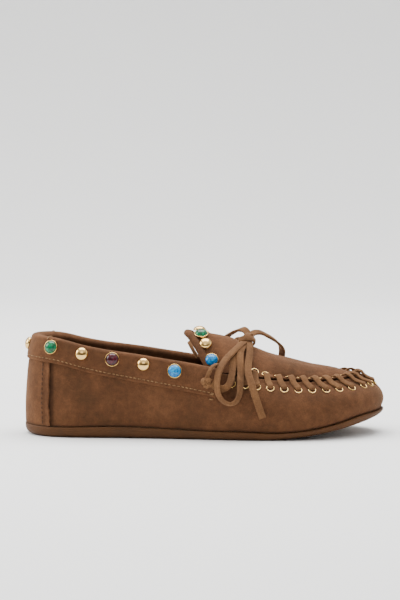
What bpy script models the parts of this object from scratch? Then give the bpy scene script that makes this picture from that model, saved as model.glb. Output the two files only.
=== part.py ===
"""A suede moccasin, right foot: a cup sole, a wall laced to a raised apron, a studded collar and a tied drawstring.

Metres, +Z up, toe towards +X, outer (lateral) side towards -Y. The origin is on the ground at mid-length,
in the flat of the sole. The upper is built in layers on one reference surface, the wall's outer face: skin(w, v)
is a point of it, w going once round the shoe from the heel (-1) over the lateral side to the toe tip (0) and
back over the medial side to the heel (1), and v going up from the sole edge (0) to the top of the section (1).
"""

import math

import bmesh
import bpy
import numpy as np
from mathutils import Vector

MM = 0.001

# Overall sizes
LENGTH = 250 * MM
BALL_WIDTH = 90 * MM
HEEL_WIDTH = 61 * MM
WAIST_LATERAL = 35 * MM
WAIST_MEDIAL = 31 * MM
TOE_SWING = 4 * MM  # how far the toe tip is turned to the medial side
RIM_HEEL = 70 * MM  # collar height over the ground at the heel
RIM_FRONT = 49.3 * MM  # collar height at its two front ends
INSTEP_RISE = 25 * MM  # crown of the tongue over its side edges

# Leathers and clearances
SUEDE = 1.4 * MM
LINING = 1.0 * MM
BAND = 1.2 * MM  # collar band and heel panel
COUNTER = 0.8 * MM
GAP = 0.3 * MM  # between pieces that touch

# Sole and what lies on it
SOLE_PROUD = 2.0 * MM  # sole edge beyond the foot of the wall
SOLE_CORE = 3.0 * MM
LIP = 4.0 * MM  # width of the raised edge of the sole
TOE_SPRING = 14 * MM
SPRING_START = 40 * MM  # where the underside leaves the ground
BOARD = 1.5 * MM
FOAM = 3.0 * MM
SOCK = 1.0 * MM

# Collar, heel panel and drawstring
BAND_HEIGHT_HEEL = 17.3 * MM
BAND_HEIGHT_FRONT = 20 * MM
COLLAR_FRONT = 8 * MM  # x of the band's two front ends
FOLD_RISE = 2.25 * MM  # crown of the fold over its spring line
INNER_LEAF = 9 * MM
HEEL_PANEL = -106 * MM  # x of the panel's front edges
COUNTER_FRONT = -70 * MM
COUNTER_HEIGHT = 40 * MM
STRING_WIDTH = 4.5 * MM
STRING = 1.8 * MM
TUCK = 5.2 * MM  # wall and lining end this far under the fold
COLLAR_RUNOUT = 12 * MM  # length over which the wall's top goes from the fold down to the seam
PANEL_UNDERLAP = 6 * MM  # the heel panel under the band
PANEL_STEP = 22 * MM  # length over which the band comes down off the heel panel
SEAT_PLAY = 0.2 * MM  # the insole's edge inside the lining

# Apron, tongue and lacing
HINGE = 16.5 * MM  # outline x where the tongue flexes
HINGE_GAP = 1.2 * MM
SEAM_INSET = 3.5 * MM
SEAM_RISE = 3.0 * MM
TONGUE_BACK = -13 * MM  # x of the tongue's rear edge at the crown
TONGUE_CORNER = 3 * MM  # x of its rear corners
TONGUE_CLEAR = 5.2 * MM  # tongue corner inside the collar, so that it can lift
LACE_SPAN = 4.5 * MM  # eyelet row below the wall's edge
LACE_INNER = 3.0 * MM  # eyelet row inside the apron's edge
LACE = 1.6 * MM
LACE_START = 21 * MM

# Studs
STUD_FIRST = 32.0 * MM  # along the band, from the middle of the heel to the first side stud
STUD_PITCH = 21.7 * MM
DOME_RADIUS = 4.5 * MM
DOME_HEIGHT = 3.0 * MM
BEZEL_RADIUS = 4.9 * MM
BEZEL_HEIGHT = 1.7 * MM
BEZEL_WALL = 0.7 * MM
BEZEL_FLOOR = 0.5 * MM
STONE_HEIGHT = 3.0 * MM
TONGUE_STUD_ROW = 0.7  # share of the way from the hinge to the tongue's rear edge
TONGUE_STUD_CROWN = 0.09  # share of the half width that the middle stud lies to the medial side
TONGUE_STUD_SPACE = 0.3 * MM  # between the rims of two studs near the crown
TONGUE_STUD_LAST = 4.5 * MM  # between the rims of the last two, down each side, where there is room
TONGUE_STUD_EDGE = 0.5 * MM  # least suede between a stud's rim and the tongue's side edge
TONGUE_STUD_LIFT = 0.9 * MM  # a stud's flat foot off the middle of its place on the curved tongue

# The tied thong: a flat strip 5 by 1.8 mm, which a round one of the same cross-section stands for
THONG_RADIUS = 1.7 * MM
THONG_STEP = 8 * MM

SIDE_STATIONS = 28  # along each side of the shoe
STEP = 1 / SIDE_STATIONS


def curve(*rows):
    """A smooth curve through rows of (parameter, value, ...), cubic between each two rows."""
    table = np.array(rows, float)
    at, values = table[:, 0], table[:, 1:]
    slopes = np.gradient(values, at, axis=0)

    def read(s):
        i = min(max(int(np.searchsorted(at, s)) - 1, 0), len(at) - 2)
        span = at[i + 1] - at[i]
        u = min(max((s - at[i]) / span, 0.0), 1.0)
        start = (1 + 2 * u) * (1 - u) ** 2 * values[i] + u * (1 - u) ** 2 * span * slopes[i]
        end = u * u * (3 - 2 * u) * values[i + 1] + u * u * (u - 1) * span * slopes[i + 1]
        return start + end

    return read


def ease(x, start, end):
    """0 before start, 1 after end, and smooth between."""
    u = min(max((x - start) / (end - start), 0.0), 1.0)
    return u * u * (3 - 2 * u)


def unit(v):
    return v / np.linalg.norm(v)


# Half widths at the foot of the wall, against the share of the length from the middle
half_widths = curve(
    (-0.50, HEEL_WIDTH / 2, HEEL_WIDTH / 2),
    (-0.24, HEEL_WIDTH / 2, HEEL_WIDTH / 2),
    (-0.08, WAIST_LATERAL, WAIST_MEDIAL),
    (0.10, 0.93 * BALL_WIDTH / 2, 0.87 * BALL_WIDTH / 2),
    (0.24, BALL_WIDTH / 2, BALL_WIDTH / 2),
    (0.50, BALL_WIDTH / 2, BALL_WIDTH / 2),
)
HEEL_ROUND, TOE_ROUND = 7.0, 3.4  # powers of the superellipses that close the two ends
FOOT_HALF = LENGTH / 2 - 2.2 * MM  # the wall's belly and the heel panel stand out to the full length

# Collar height along the shoe, as a share of the fall from the heel to the front ends
rim_fall = curve(
    (-0.50, 0.0), (-0.412, 0.075), (-0.31, 0.34), (-0.15, 0.63), (-0.01, 0.90), (0.03, 1.0), (0.08, 1.24)
)
# Height of the sole's edge over its underside
edge_height = curve(
    (-0.5, 8), (-0.42, 7.2), (-0.24, 8), (0.0, 6), (0.12, 5.6), (0.21, 4.6), (0.32, 4.4), (0.38, 5.1), (0.42, 5.8),
    (0.5, 3.5)
)
# Depth of a stud's centre below the collar's rim
stud_drop = curve((-0.5, 8.0), (-0.42, 7.4), (-0.33, 6.8), (-0.17, 6.6), (-0.08, 7.8))
# Height of the wall's edge along the seam of the apron
seam_height = curve(
    (0.0, 43.0), (0.08, 41.5), (0.16, 39.2), (0.22, 38.0), (0.27, 37.4), (0.33, 37.1), (0.38, 37.2), (0.5, 38.5)
)
# Belly, shoulder and lean of the wall's section
wall_section = curve(
    (-0.50, 0.6, -0.6, 5.8),
    (-0.41, 2.0, 1.5, 4.0),
    (-0.31, 2.5, 2.0, 2.0),
    (-0.15, 3.0, 2.5, 0.5),
    (-0.01, 3.5, 3.0, 3.0),
    (0.08, 4.0, 4.0, 5.5),
    (0.16, 5.0, 5.0, 7.5),
    (0.27, 5.0, 5.0, 8.5),
    (0.38, 4.5, 4.5, 9.5),
    (0.50, 3.5, 2.5, 11.0),
)
# Crown of the apron and tongue over their edges, as a share of INSTEP_RISE
arch = curve(
    (-0.06, 1.0), (0.012, 0.99), (0.066, 0.87), (0.144, 0.66), (0.18, 0.55), (0.224, 0.46), (0.268, 0.355),
    (0.324, 0.25), (0.36, 0.185), (0.396, 0.11), (0.43, 0.03),
)  # fmt: skip
ARCH_POWER = 2.2


def outline(w):
    """The plan outline at the foot of the wall."""
    c = math.cos(math.pi * w)
    side = math.sin(math.pi * w)
    x = FOOT_HALF * c
    lateral, medial = half_widths(x / LENGTH)
    power = TOE_ROUND if c > 0 else HEEL_ROUND
    y = math.copysign(lateral if side < 0 else medial, side) * math.sqrt(max(0.0, 1 - abs(c) ** power))
    return np.array((x, y + TOE_SWING * max(0.0, 2 * x / LENGTH) ** 2, 0.0))


def outward(w):
    """The level direction straight out of the outline."""
    dx, dy, _ = outline(w + 0.002) - outline(w - 0.002)
    return unit(np.array((dy, -dx, 0.0)))


def side_of(x, sign):
    """The w of an outline x, on the lateral side (-1) or the medial side (1)."""
    return sign * math.acos(x / FOOT_HALF) / math.pi


def sole_bottom(x):
    rise = max(0.0, (x - SPRING_START) / (LENGTH / 2 - SPRING_START))
    return TOE_SPRING * rise**1.7


def sole_edge(x):
    return sole_bottom(x) + edge_height(x / LENGTH)[0] * MM


def rim(x):
    return RIM_HEEL - (RIM_HEEL - RIM_FRONT) * rim_fall(x / LENGTH)[0]


def section_top(x):
    """Height of the top of the section: the fold's spring line at the rear, the seam edge at the front."""
    front = ease(x, COLLAR_FRONT, COLLAR_FRONT + COLLAR_RUNOUT)
    spring = rim(x) - FOLD_RISE - BAND / 2
    return (1 - front) * spring + front * seam_height(x / LENGTH)[0] * MM


def bezier(v, a, b, c, d):
    return (1 - v) ** 3 * a + 3 * v * (1 - v) ** 2 * b + 3 * v * v * (1 - v) * c + v**3 * d


def wall_point(w, v):
    foot = outline(w)
    x = foot[0]
    belly, shoulder, lean = wall_section(x / LENGTH) * MM
    low = sole_edge(x) + GAP
    high = section_top(x)
    out = bezier(v, 0.0, belly, shoulder, -lean)
    z = bezier(v, low, low + 0.30 * (high - low), low + 0.72 * (high - low), high)
    return foot + outward(w) * out + np.array((0.0, 0.0, z))


def skin(w, v, out=0.0, up=0.0):
    """A point of the wall's outer face, moved out along its normal and up along the wall."""
    along = wall_point(w + 0.002, v) - wall_point(w - 0.002, v)
    rise = unit(wall_point(w, min(v + 0.01, 1.0)) - wall_point(w, max(v - 0.01, 0.0)))
    return wall_point(w, v) + unit(np.cross(along, rise)) * out + rise * up


def normal_at(w, v):
    return unit(skin(w, v, 1 * MM) - skin(w, v))


def level(w, z):
    """The v at which the wall reaches a height."""
    low, high = 0.0, 1.0
    for _ in range(30):
        middle = (low + high) / 2
        if wall_point(w, middle)[2] < z:
            low = middle
        else:
            high = middle
    return low


def stations(start, end):
    """The w values from start to end: both ends and the shared stations between them."""
    shared = {k * STEP for k in range(math.ceil(start / STEP), math.floor(end / STEP) + 1)}
    cuts = (side_of(COLLAR_FRONT, -1), side_of(COLLAR_FRONT, 1))
    inner = sorted(shared.union(cuts, (-2 - w for w in cuts)))
    kept = [w for w in inner if w - start > 0.25 * STEP and end - w > 0.25 * STEP]
    return [start, *kept, end]


def shares(count):
    return [i / count for i in range(count + 1)]


# Materials: base colour, roughness, metallic
FINISHES = {
    "suede": ((0.130, 0.051, 0.022), 0.95, 0.0),
    "thong_suede": ((0.246, 0.112, 0.048), 0.95, 0.0),
    "lining_leather": ((0.045, 0.013, 0.007), 0.6, 0.0),
    "rubber": ((0.095, 0.042, 0.023), 0.7, 0.0),
    "board": ((0.35, 0.25, 0.16), 0.9, 0.0),
    "foam": ((0.55, 0.48, 0.36), 0.9, 0.0),
    "counter_sheet": ((0.40, 0.33, 0.24), 0.8, 0.0),
    "gold": ((0.78, 0.62, 0.36), 0.18, 1.0),
    "green_stone": ((0.004, 0.080, 0.038), 0.2, 0.0),
    "purple_stone": ((0.050, 0.013, 0.017), 0.2, 0.0),
    "turquoise_stone": ((0.007, 0.310, 0.530), 0.25, 0.0),
}


def finish(name):
    """The material of that name, made on first use."""
    material = bpy.data.materials.get(name)
    if material is None:
        colour, roughness, metallic = FINISHES[name]
        material = bpy.data.materials.new(name)
        material.use_nodes = True
        shader = material.node_tree.nodes["Principled BSDF"]
        shader.inputs["Base Color"].default_value = (*colour, 1)
        shader.inputs["Roughness"].default_value = roughness
        shader.inputs["Metallic"].default_value = metallic
        material.diffuse_color = (*colour, 1)
    return material


def place(name, data, material):
    """A new object of the moccasin."""
    piece = bpy.data.objects.new(name, data)
    data.materials.append(finish(material))
    moccasin.objects.link(piece)
    return piece


def mesh_from(bm, name):
    mesh = bpy.data.meshes.new(name)
    bm.to_mesh(mesh)
    bm.free()
    return mesh


def shell(name, grid, thickness, material):
    """A sheet through a grid of points, whose rows go up and columns go on, thickened out of its face."""
    bm = bmesh.new()
    rows = [[bm.verts.new(point) for point in row] for row in grid]
    for low, high in zip(rows, rows[1:], strict=False):
        for i in range(len(low) - 1):
            bm.faces.new((low[i], low[i + 1], high[i + 1], high[i]))
    piece = place(name, mesh_from(bm, name), material)
    thick = piece.modifiers.new("thickness", "SOLIDIFY")
    thick.thickness = thickness
    thick.offset = 1
    return piece


def plate(name, rings, material):
    """A closed body through closed rings, lowest first, whose two ends are filled straight across."""
    bm = bmesh.new()
    loops = [[bm.verts.new(point) for point in ring] for ring in rings]
    count = 2 * SIDE_STATIONS
    for low, high in zip(loops, loops[1:], strict=False):
        for i in range(count):
            j = (i + 1) % count
            bm.faces.new((low[i], low[j], high[j], high[i]))
    for loop, up in ((loops[0], False), (loops[-1], True)):
        for i in range(SIDE_STATIONS):
            corners = [i, i + 1, (count - i - 1) % count, (count - i) % count]
            face = [loop[k] for k in dict.fromkeys(corners)]
            bm.faces.new(face if up else face[::-1])
    return place(name, mesh_from(bm, name), material)


def ring(out, height):
    """A closed ring that far outside the foot of the wall, at a height that depends on x."""
    points = []
    for i in range(2 * SIDE_STATIONS):
        w = i * STEP - 1
        point = outline(w) + outward(w) * out
        point[2] = height(point[0])
        points.append(point)
    return points


def moved(grid, out):
    """A grid moved along its own normals."""
    points = np.array(grid)
    along, up = np.gradient(points, axis=1), np.gradient(points, axis=0)
    normals = np.cross(along, up)
    return points + out * normals / np.linalg.norm(normals, axis=2, keepdims=True)


def turned(name, profile, material):
    """A turned piece from (radius, height) points that run down its outer side, standing on z = 0."""
    bm = bmesh.new()
    points = [bm.verts.new((radius, 0, height)) for radius, height in profile]
    for above, below in zip(points, points[1:], strict=False):
        bm.edges.new((above, below))
    piece = place(name, mesh_from(bm, name), material)
    screw = piece.modifiers.new("turning", "SCREW")
    screw.steps = 12
    screw.render_steps = 12
    screw.use_merge_vertices = True
    screw.merge_threshold = 0.00001
    screw.use_smooth_shade = True
    return piece


def seat(piece, point, normal):
    """Stand a turned piece on a surface."""
    piece.location = Vector(point)
    piece.rotation_euler = Vector(normal).to_track_quat("Z", "Y").to_euler()


# ---------------------------------------------------------------------------------------- sole and bed


def floor_height(x):
    return sole_bottom(x) + SOLE_CORE


def build_sole():
    """Cup sole: a rounded side, a raised lip and a floor that the insole lies on."""
    edge = SOLE_PROUD
    plate(
        "outsole",
        [
            ring(edge - 7 * MM, sole_bottom),
            ring(edge - 3 * MM, lambda x: sole_bottom(x) + 0.15 * (sole_edge(x) - sole_bottom(x))),
            ring(edge - 0.6 * MM, lambda x: sole_bottom(x) + 0.5 * (sole_edge(x) - sole_bottom(x))),
            ring(edge, lambda x: sole_bottom(x) + 0.9 * (sole_edge(x) - sole_bottom(x))),
            ring(edge - 0.5 * MM, sole_edge),
            ring(edge - LIP, sole_edge),
            ring(edge - LIP - 0.3 * MM, floor_height),
        ],
        "rubber",
    )
    inset = -(SUEDE + COUNTER + LINING + 4 * GAP + SEAT_PLAY)
    layers = (
        ("insole_board", BOARD, "board"),
        ("footbed_foam", FOAM, "foam"),
        ("sock_lining", SOCK, "lining_leather"),
    )
    below = SOLE_CORE
    for name, thickness, material in layers:
        low = below + GAP
        high = low + thickness
        plate(
            name,
            [
                ring(inset, lambda x, h=low: sole_bottom(x) + h),
                ring(inset, lambda x, h=high: sole_bottom(x) + h),
            ],
            material,
        )
        below = high


# ------------------------------------------------------------------------------------ wall and lining


def wall_top(w):
    """The v of the wall's and lining's upper edge: tucked under the fold, and the full section at the seam."""
    x = outline(w)[0]
    tuck = TUCK * (1 - ease(x, COLLAR_FRONT, COLLAR_FRONT + COLLAR_RUNOUT))
    return level(w, section_top(x) - tuck) if tuck > 0 else 1.0


def lining_depth(x):
    """Outer face of the lining inside the wall's outer face: deeper where the counter lies between them."""
    counter = 1 - ease(x, COUNTER_FRONT + 4 * MM, COUNTER_FRONT + 24 * MM)
    return SUEDE + GAP + (COUNTER + GAP) * counter


def build_wall():
    """One strip of suede from the heel seam round the toe to the heel seam, its lining and the heel counter."""
    seam = 0.25 * MM / (math.pi * HEEL_WIDTH / 2)
    around = stations(-1 + seam, 1 - seam)
    tops = {w: wall_top(w) for w in around}
    wall = [[skin(w, tops[w] * v, -SUEDE) for w in around] for v in shares(6)]
    shell("wall_upper", wall, SUEDE, "suede")
    lining = [[skin(w, tops[w] * v, -lining_depth(outline(w)[0]) - LINING) for w in around] for v in shares(6)]
    shell("wall_lining", lining, LINING, "lining_leather")
    back = stations(-2 - side_of(COUNTER_FRONT, -1), side_of(COUNTER_FRONT, -1))
    counter = [
        [skin(w, level(w, COUNTER_HEIGHT) * v, -SUEDE - GAP - COUNTER) for w in back] for v in shares(4)
    ]
    shell("heel_counter", counter, COUNTER, "counter_sheet")


def band_out(x):
    """Inner face of the collar band's outer leaf: it steps over the heel panel."""
    panel = 1 - ease(x, HEEL_PANEL + 1 * MM, HEEL_PANEL + 1 * MM + PANEL_STEP)
    return GAP + (BAND + GAP) * panel


def band_height(x):
    share = ease(x, -LENGTH / 2, COLLAR_FRONT)
    return BAND_HEIGHT_HEEL + (BAND_HEIGHT_FRONT - BAND_HEIGHT_HEEL) * share


def band_low(x):
    return rim(x) - band_height(x)


def inner_leaf_in(x):
    """Outer face of the collar's inner leaf, inside the wall's outer face."""
    return lining_depth(x) + LINING + 2 * GAP


def build_heel_panel():
    """A panel sewn over the back seam, running up under the collar band."""
    around = stations(-2 - side_of(HEEL_PANEL, -1), side_of(HEEL_PANEL, -1))
    grid = []
    for v in shares(5):
        grid.append([skin(w, level(w, band_low(outline(w)[0]) + PANEL_UNDERLAP) * v, GAP) for w in around])
    shell("heel_panel", grid, BAND, "suede")


def build_collar():
    """A band folded over the top edge, open at its two front ends, with the drawstring inside the fold."""
    around = stations(-2 - side_of(COLLAR_FRONT, -1), side_of(COLLAR_FRONT, -1))
    columns = []
    for w in around:
        x = outline(w)[0]
        low, top = level(w, band_low(x)), 1.0
        inner_low = level(w, section_top(x) - INNER_LEAF)
        outer, inner = band_out(x), -inner_leaf_in(x) - BAND
        column = [skin(w, low + (top - low) * v, outer) for v in shares(4)]
        middle, radius = (outer + inner) / 2, (outer - inner) / 2
        for share in (0.25, 0.5, 0.75):
            turn = math.pi * share
            column.append(skin(w, 1.0, middle + radius * math.cos(turn), FOLD_RISE * math.sin(turn)))
        column += [skin(w, top + (inner_low - top) * v, inner + BAND) for v in shares(3)]
        columns.append(column)
    shell("collar_band", list(map(list, zip(*columns, strict=True))), BAND, "suede")
    string = []
    for height in (STRING_WIDTH - 0.2 * MM, -0.2 * MM):
        row = []
        for w in around:
            x = outline(w)[0]
            v = level(w, section_top(x) - height)
            row.append(skin(w, v, (band_out(x) - inner_leaf_in(x) - STRING) / 2))
        string.append(row)
    shell("drawstring", string, STRING, "thong_suede")


# ------------------------------------------------------------------------------------ apron and tongue


def apron_edge(w):
    """The apron's edge, inside and over the wall's edge."""
    return skin(w, 1.0) - outward(w) * SEAM_INSET + np.array((0.0, 0.0, SEAM_RISE))


def arched(lateral, medial, q, x):
    """A point across an arch between two edge points, q from -1 (lateral) to 1 (medial)."""
    point = lateral * (1 - q) / 2 + medial * (1 + q) / 2
    point[0] = x
    rise = INSTEP_RISE * arch(point[0] / LENGTH)[0]
    point[2] += rise * (1 - abs(q) ** ARCH_POWER)
    return point


def apron_point(w, q):
    lateral, medial = apron_edge(-abs(w)), apron_edge(abs(w))
    return arched(lateral, medial, q, (lateral[0] + medial[0]) / 2)


hinge_w = side_of(HINGE, 1)
hinge_row = [apron_edge(-hinge_w), apron_edge(hinge_w)]


def tongue_point(g, q):
    """A point of the tongue: g from the flex line (0) to the rear edge (1), q across."""
    ends = []
    for sign, start in ((-1, hinge_row[0]), (1, hinge_row[1])):
        w = side_of(TONGUE_CORNER, sign)
        end = skin(w, 1.0, -inner_leaf_in(TONGUE_CORNER) - BAND - TONGUE_CLEAR)
        end[0] = TONGUE_CORNER
        end[2] = start[2]
        inward = 1 - (1 - g) ** 2
        ends.append(start * (1 - inward) + end * inward)
    start_x = (hinge_row[0][0] + hinge_row[1][0]) / 2 - HINGE_GAP
    rear_x = TONGUE_BACK + (TONGUE_CORNER - TONGUE_BACK) * abs(q) ** 1.6
    return arched(ends[0], ends[1], q, start_x + (rear_x - start_x) * g)


def build_apron():
    """The apron over the toes and the tongue that carries on from it, each with its lining."""
    across = [2 * s - 1 for s in shares(10)]
    front = [*[w for w in stations(-hinge_w, 0)[:-1]], -0.3 * STEP]
    apron = [[apron_point(w, q) for w in front] for q in across]
    shell("apron", moved(apron, -SUEDE), SUEDE, "suede")
    under_front = [front[0] + 0.15 * STEP, *front[1:-3]]
    under = [[apron_point(w, 0.88 * q) for w in under_front] for q in across]
    shell("apron_lining", moved(under, -SUEDE - 2 * GAP - LINING), LINING, "lining_leather")
    back = [1 - g for g in shares(6)]
    tongue = [[tongue_point(g, q) for g in back] for q in across]
    shell("tongue", moved(tongue, -SUEDE), SUEDE, "suede")
    beneath = [[tongue_point(0.04 + 0.92 * g, 0.96 * q) for g in back] for q in across]
    shell("tongue_lining", moved(beneath, -SUEDE - 2 * GAP - LINING), LINING, "lining_leather")


def build_lacing():
    """The thong that is whipped through the eyelets of wall and apron, as the band that its stitches fill."""
    reach = side_of(LACE_START, 1)
    around = stations(-reach, reach)
    rows = [[] for _ in range(4)]
    for w in around:
        edge = skin(w, 1.0)
        down = level(w, edge[2] - LACE_SPAN * 0.8)
        half = np.linalg.norm(apron_edge(-abs(w)) - apron_edge(abs(w))) / 2
        q = math.copysign(1 - min(LACE_INNER / max(half, 1 * MM), 0.9), w)
        over = apron_point(w, q)
        rows[0].append(skin(w, down, GAP))
        rows[1].append(skin(w, 1.0, GAP + 0.3 * MM))
        rows[2].append(apron_point(w, math.copysign(1, w)) + np.array((0, 0, GAP + 0.3 * MM)) + outward(w) * 0.3 * MM)
        rows[3].append(over + np.array((0, 0, GAP + 0.3 * MM)))
    shell("toe_lacing", rows, LACE, "thong_suede")


# ------------------------------------------------------------------------------------------------ studs


def gold_dome(name):
    profile = [(DOME_RADIUS * math.sin(a), DOME_HEIGHT * math.cos(a)) for a in np.linspace(0, math.pi / 2, 5)]
    return turned(name, [*profile, (0.0, 0.0)], "gold")


def bezel(name):
    """A shallow cup that holds a stone."""
    inner = BEZEL_RADIUS - BEZEL_WALL
    profile = [
        (0.0, BEZEL_FLOOR),
        (inner, BEZEL_FLOOR),
        (inner, BEZEL_HEIGHT),
        (BEZEL_RADIUS - 0.3 * MM, BEZEL_HEIGHT),
        (BEZEL_RADIUS, 0.6 * BEZEL_HEIGHT),
        (BEZEL_RADIUS, 0.0),
        (0.0, 0.0),
    ]
    return turned(name, profile, "gold")


def stone(name, material):
    """A domed stone that sits in its bezel, standing on the bezel's own base plane."""
    radius = BEZEL_RADIUS - BEZEL_WALL - GAP
    low = BEZEL_FLOOR + GAP
    side = BEZEL_HEIGHT - 0.2 * MM
    dome = [
        (radius * math.sin(a), side + (STONE_HEIGHT - side) * math.cos(a)) for a in np.linspace(0, math.pi / 2, 4)
    ]
    return turned(name, [*dome, (radius, low), (0.0, low)], material)


def stud(kind, name, point, normal):
    """A gold dome, or a stone in its bezel, on the surface at a point."""
    if kind == "gold":
        seat(gold_dome(name + "_dome"), point, normal)
    else:
        seat(bezel(name + "_bezel"), point, normal)
        seat(stone(name + "_" + kind, kind + "_stone"), point, normal)


SIDE_STUDS = ("green", "gold", "purple", "gold", "turquoise")
# Each after the crown stud, and the space before it
TONGUE_STUDS = {
    "lateral": (("green", TONGUE_STUD_SPACE), ("gold", TONGUE_STUD_SPACE), ("turquoise", TONGUE_STUD_LAST)),
    "medial": (("purple", TONGUE_STUD_SPACE), ("gold", TONGUE_STUD_SPACE), ("turquoise", TONGUE_STUD_LAST)),
}


def collar_seat(w):
    """Where a stud sits on the collar band: the band's outer face at the stud line, and its normal."""
    x = outline(w)[0]
    v = level(w, rim(x) - stud_drop(x / LENGTH)[0] * MM)
    return skin(w, v, band_out(x) + BAND + 1.5 * GAP), normal_at(w, v)


def build_collar_studs():
    point, normal = collar_seat(-1.0)
    stud("gold", "heel_stud", point, normal)
    for sign, side in ((-1, "lateral"), (1, "medial")):
        w, last, run = sign, point, 0.0
        for number, kind in enumerate(SIDE_STUDS, 1):
            while run < STUD_FIRST + (number - 1) * STUD_PITCH:
                w -= sign * 0.001
                here = collar_seat(w)[0]
                run += np.linalg.norm(here - last)
                last = here
            stud(kind, f"{side}_stud_{number}", *collar_seat(w))


def tongue_seat(q):
    """Where a stud sits on the tongue, and the tongue's normal there."""
    here = tongue_point(TONGUE_STUD_ROW, q)
    along = tongue_point(TONGUE_STUD_ROW - 0.02, q) - tongue_point(TONGUE_STUD_ROW + 0.02, q)
    across = tongue_point(TONGUE_STUD_ROW, q + 0.02) - tongue_point(TONGUE_STUD_ROW, q - 0.02)
    normal = unit(np.cross(along, across))
    return here + normal * TONGUE_STUD_LIFT, normal


def stud_radius(kind):
    return DOME_RADIUS if kind == "gold" else BEZEL_RADIUS


def build_tongue_studs():
    crown = tongue_seat(TONGUE_STUD_CROWN)
    stud("gold", "crown_stud", *crown)
    for sign, side in ((-1, "lateral"), (1, "medial")):
        q, last, before = TONGUE_STUD_CROWN, crown[0], "gold"
        edge = tongue_point(TONGUE_STUD_ROW, sign)
        for number, (kind, space) in enumerate(TONGUE_STUDS[side], 1):
            apart = stud_radius(before) + stud_radius(kind) + space
            from_edge = stud_radius(kind) + TONGUE_STUD_EDGE
            while (
                np.linalg.norm(tongue_seat(q)[0] - last) < apart
                and np.linalg.norm(tongue_seat(q + sign * 0.005)[0] - edge) > from_edge
            ):
                q += sign * 0.005
            stud(kind, f"tongue_{side}_stud_{number}", *tongue_seat(q))
            last, before = tongue_seat(q)[0], kind


# ------------------------------------------------------------------------------------------ tied thong

# Routes in millimetres, each from the bow knot or the side knot outwards
ROUTES = {
    "lateral_loop": [
        (23.5, -4.5, 69.0), (18.5, -11.0, 67.3), (14.5, -24.0, 61.5), (11.0, -37.5, 54.5), (7.8, -44.8, 48.0),
        (6.3, -46.5, 39.0), (8.0, -46.8, 31.9), (12.6, -46.8, 26.5), (18.2, -46.8, 24.9), (23.5, -46.8, 27.2),
        (26.6, -46.3, 34.5), (26.8, -43.0, 44.0), (26.4, -33.5, 53.0), (27.4, -20.0, 62.0), (29.2, -10.6, 65.6),
    ],
    "medial_loop": [
        (29.5, 4.2, 70.2), (25.7, 6.0, 72.7), (18.0, 12.0, 71.0), (12.5, 24.5, 62.5), (10.0, 36.5, 52.0),
        (8.5, 43.5, 42.0), (9.5, 46.5, 33.0), (14.0, 47.5, 27.0), (20.0, 48.0, 26.0), (26.0, 48.5, 30.0),
        (28.0, 47.5, 38.0), (27.0, 41.5, 47.0), (26.5, 30.0, 55.5), (28.0, 17.0, 62.5), (29.6, 8.0, 65.5),
    ],
    "lateral_tail": [
        (33.6, -9.6, 64.6), (33.4, -18.0, 61.0), (31.8, -30.5, 53.5), (31.6, -42.5, 44.0), (34.0, -47.0, 33.0),
        (37.3, -49.0, 23.0), (39.5, -49.0, 15.5),
    ],
    "medial_tail": [
        (35.0, 3.4, 70.0), (38.5, 4.5, 70.6), (45.8, 9.0, 65.0), (53.0, 15.0, 60.0), (55.2, 22.5, 55.0),
        (54.2, 33.0, 48.5), (52.8, 43.0, 41.0), (51.5, 49.5, 30.0), (50.5, 51.0, 19.0),
    ],
    "lateral_lead": [
        (25.2, -8.6, 66.0), (22.4, -18.0, 62.8), (20.3, -31.0, 54.5), (18.8, -41.5, 44.0), (16.4, -44.0, 37.0),
        (12.3, -43.4, 33.4), (8.4, -42.6, 36.6), (6.3, -42.8, 39.6),
    ],
    "medial_lead": [
        (24.2, 3.0, 67.0), (21.0, 14.0, 64.6), (20.0, 26.5, 57.5), (18.6, 38.5, 46.5), (16.5, 42.6, 38.0),
        (12.5, 42.2, 33.5), (7.0, 41.6, 35.6), (2.8, 40.9, 38.8),
    ],
    "lateral_rim_strand": [(2.2, -42.6, 45.8), (3.4, -42.0, 49.2), (5.6, -39.0, 52.0), (9.6, -34.2, 51.2)],
    "medial_rim_strand": [
        (-4.0, 39.5, 46.0), (-8.0, 38.5, 53.0), (-10.5, 33.5, 59.5), (-11.0, 27.0, 60.0), (-9.5, 22.5, 55.0),
    ],
}
BOW_KNOT = ((31.0, -3.0, 66.6), (6.0, 5.0, 4.0))
SIDE_KNOTS = {
    "lateral_side_knot": ((1.2, -43.3, 40.0), (3.8, 2.6, 4.6)),
    "medial_side_knot": ((-2.0, 39.8, 40.0), (3.8, 2.6, 4.6)),
}


def thong(name, route):
    """A free length of the thong, as a tube on a smooth curve through its route."""
    points = np.array(route) * MM
    runs = np.concatenate([[0], np.cumsum(np.linalg.norm(np.diff(points, axis=0), axis=1))])
    path = curve(*np.column_stack([runs, points]))
    count = max(2, round(runs[-1] / THONG_STEP) + 1)
    data = bpy.data.curves.new(name, "CURVE")
    data.dimensions = "3D"
    data.bevel_depth = THONG_RADIUS
    data.bevel_resolution = 2
    data.use_fill_caps = True
    spline = data.splines.new("POLY")
    spline.points.add(count - 1)
    for point, run in zip(spline.points, np.linspace(0, runs[-1], count), strict=True):
        point.co = (*path(run), 1)
    return place(name, data, "thong_suede")


def knot(name, centre, radii):
    """A tied knot, as the rounded lump that it fills."""
    bm = bmesh.new()
    bmesh.ops.create_uvsphere(bm, u_segments=10, v_segments=6, radius=1)
    bmesh.ops.scale(bm, vec=Vector(radii) * MM, verts=bm.verts)
    piece = place(name, mesh_from(bm, name), "thong_suede")
    piece.location = Vector(centre) * MM
    return piece


def build_thong():
    for name, route in ROUTES.items():
        thong(name, route)
    knot("bow_knot", *BOW_KNOT)
    for name, (centre, radii) in SIDE_KNOTS.items():
        knot(name, centre, radii)


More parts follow.
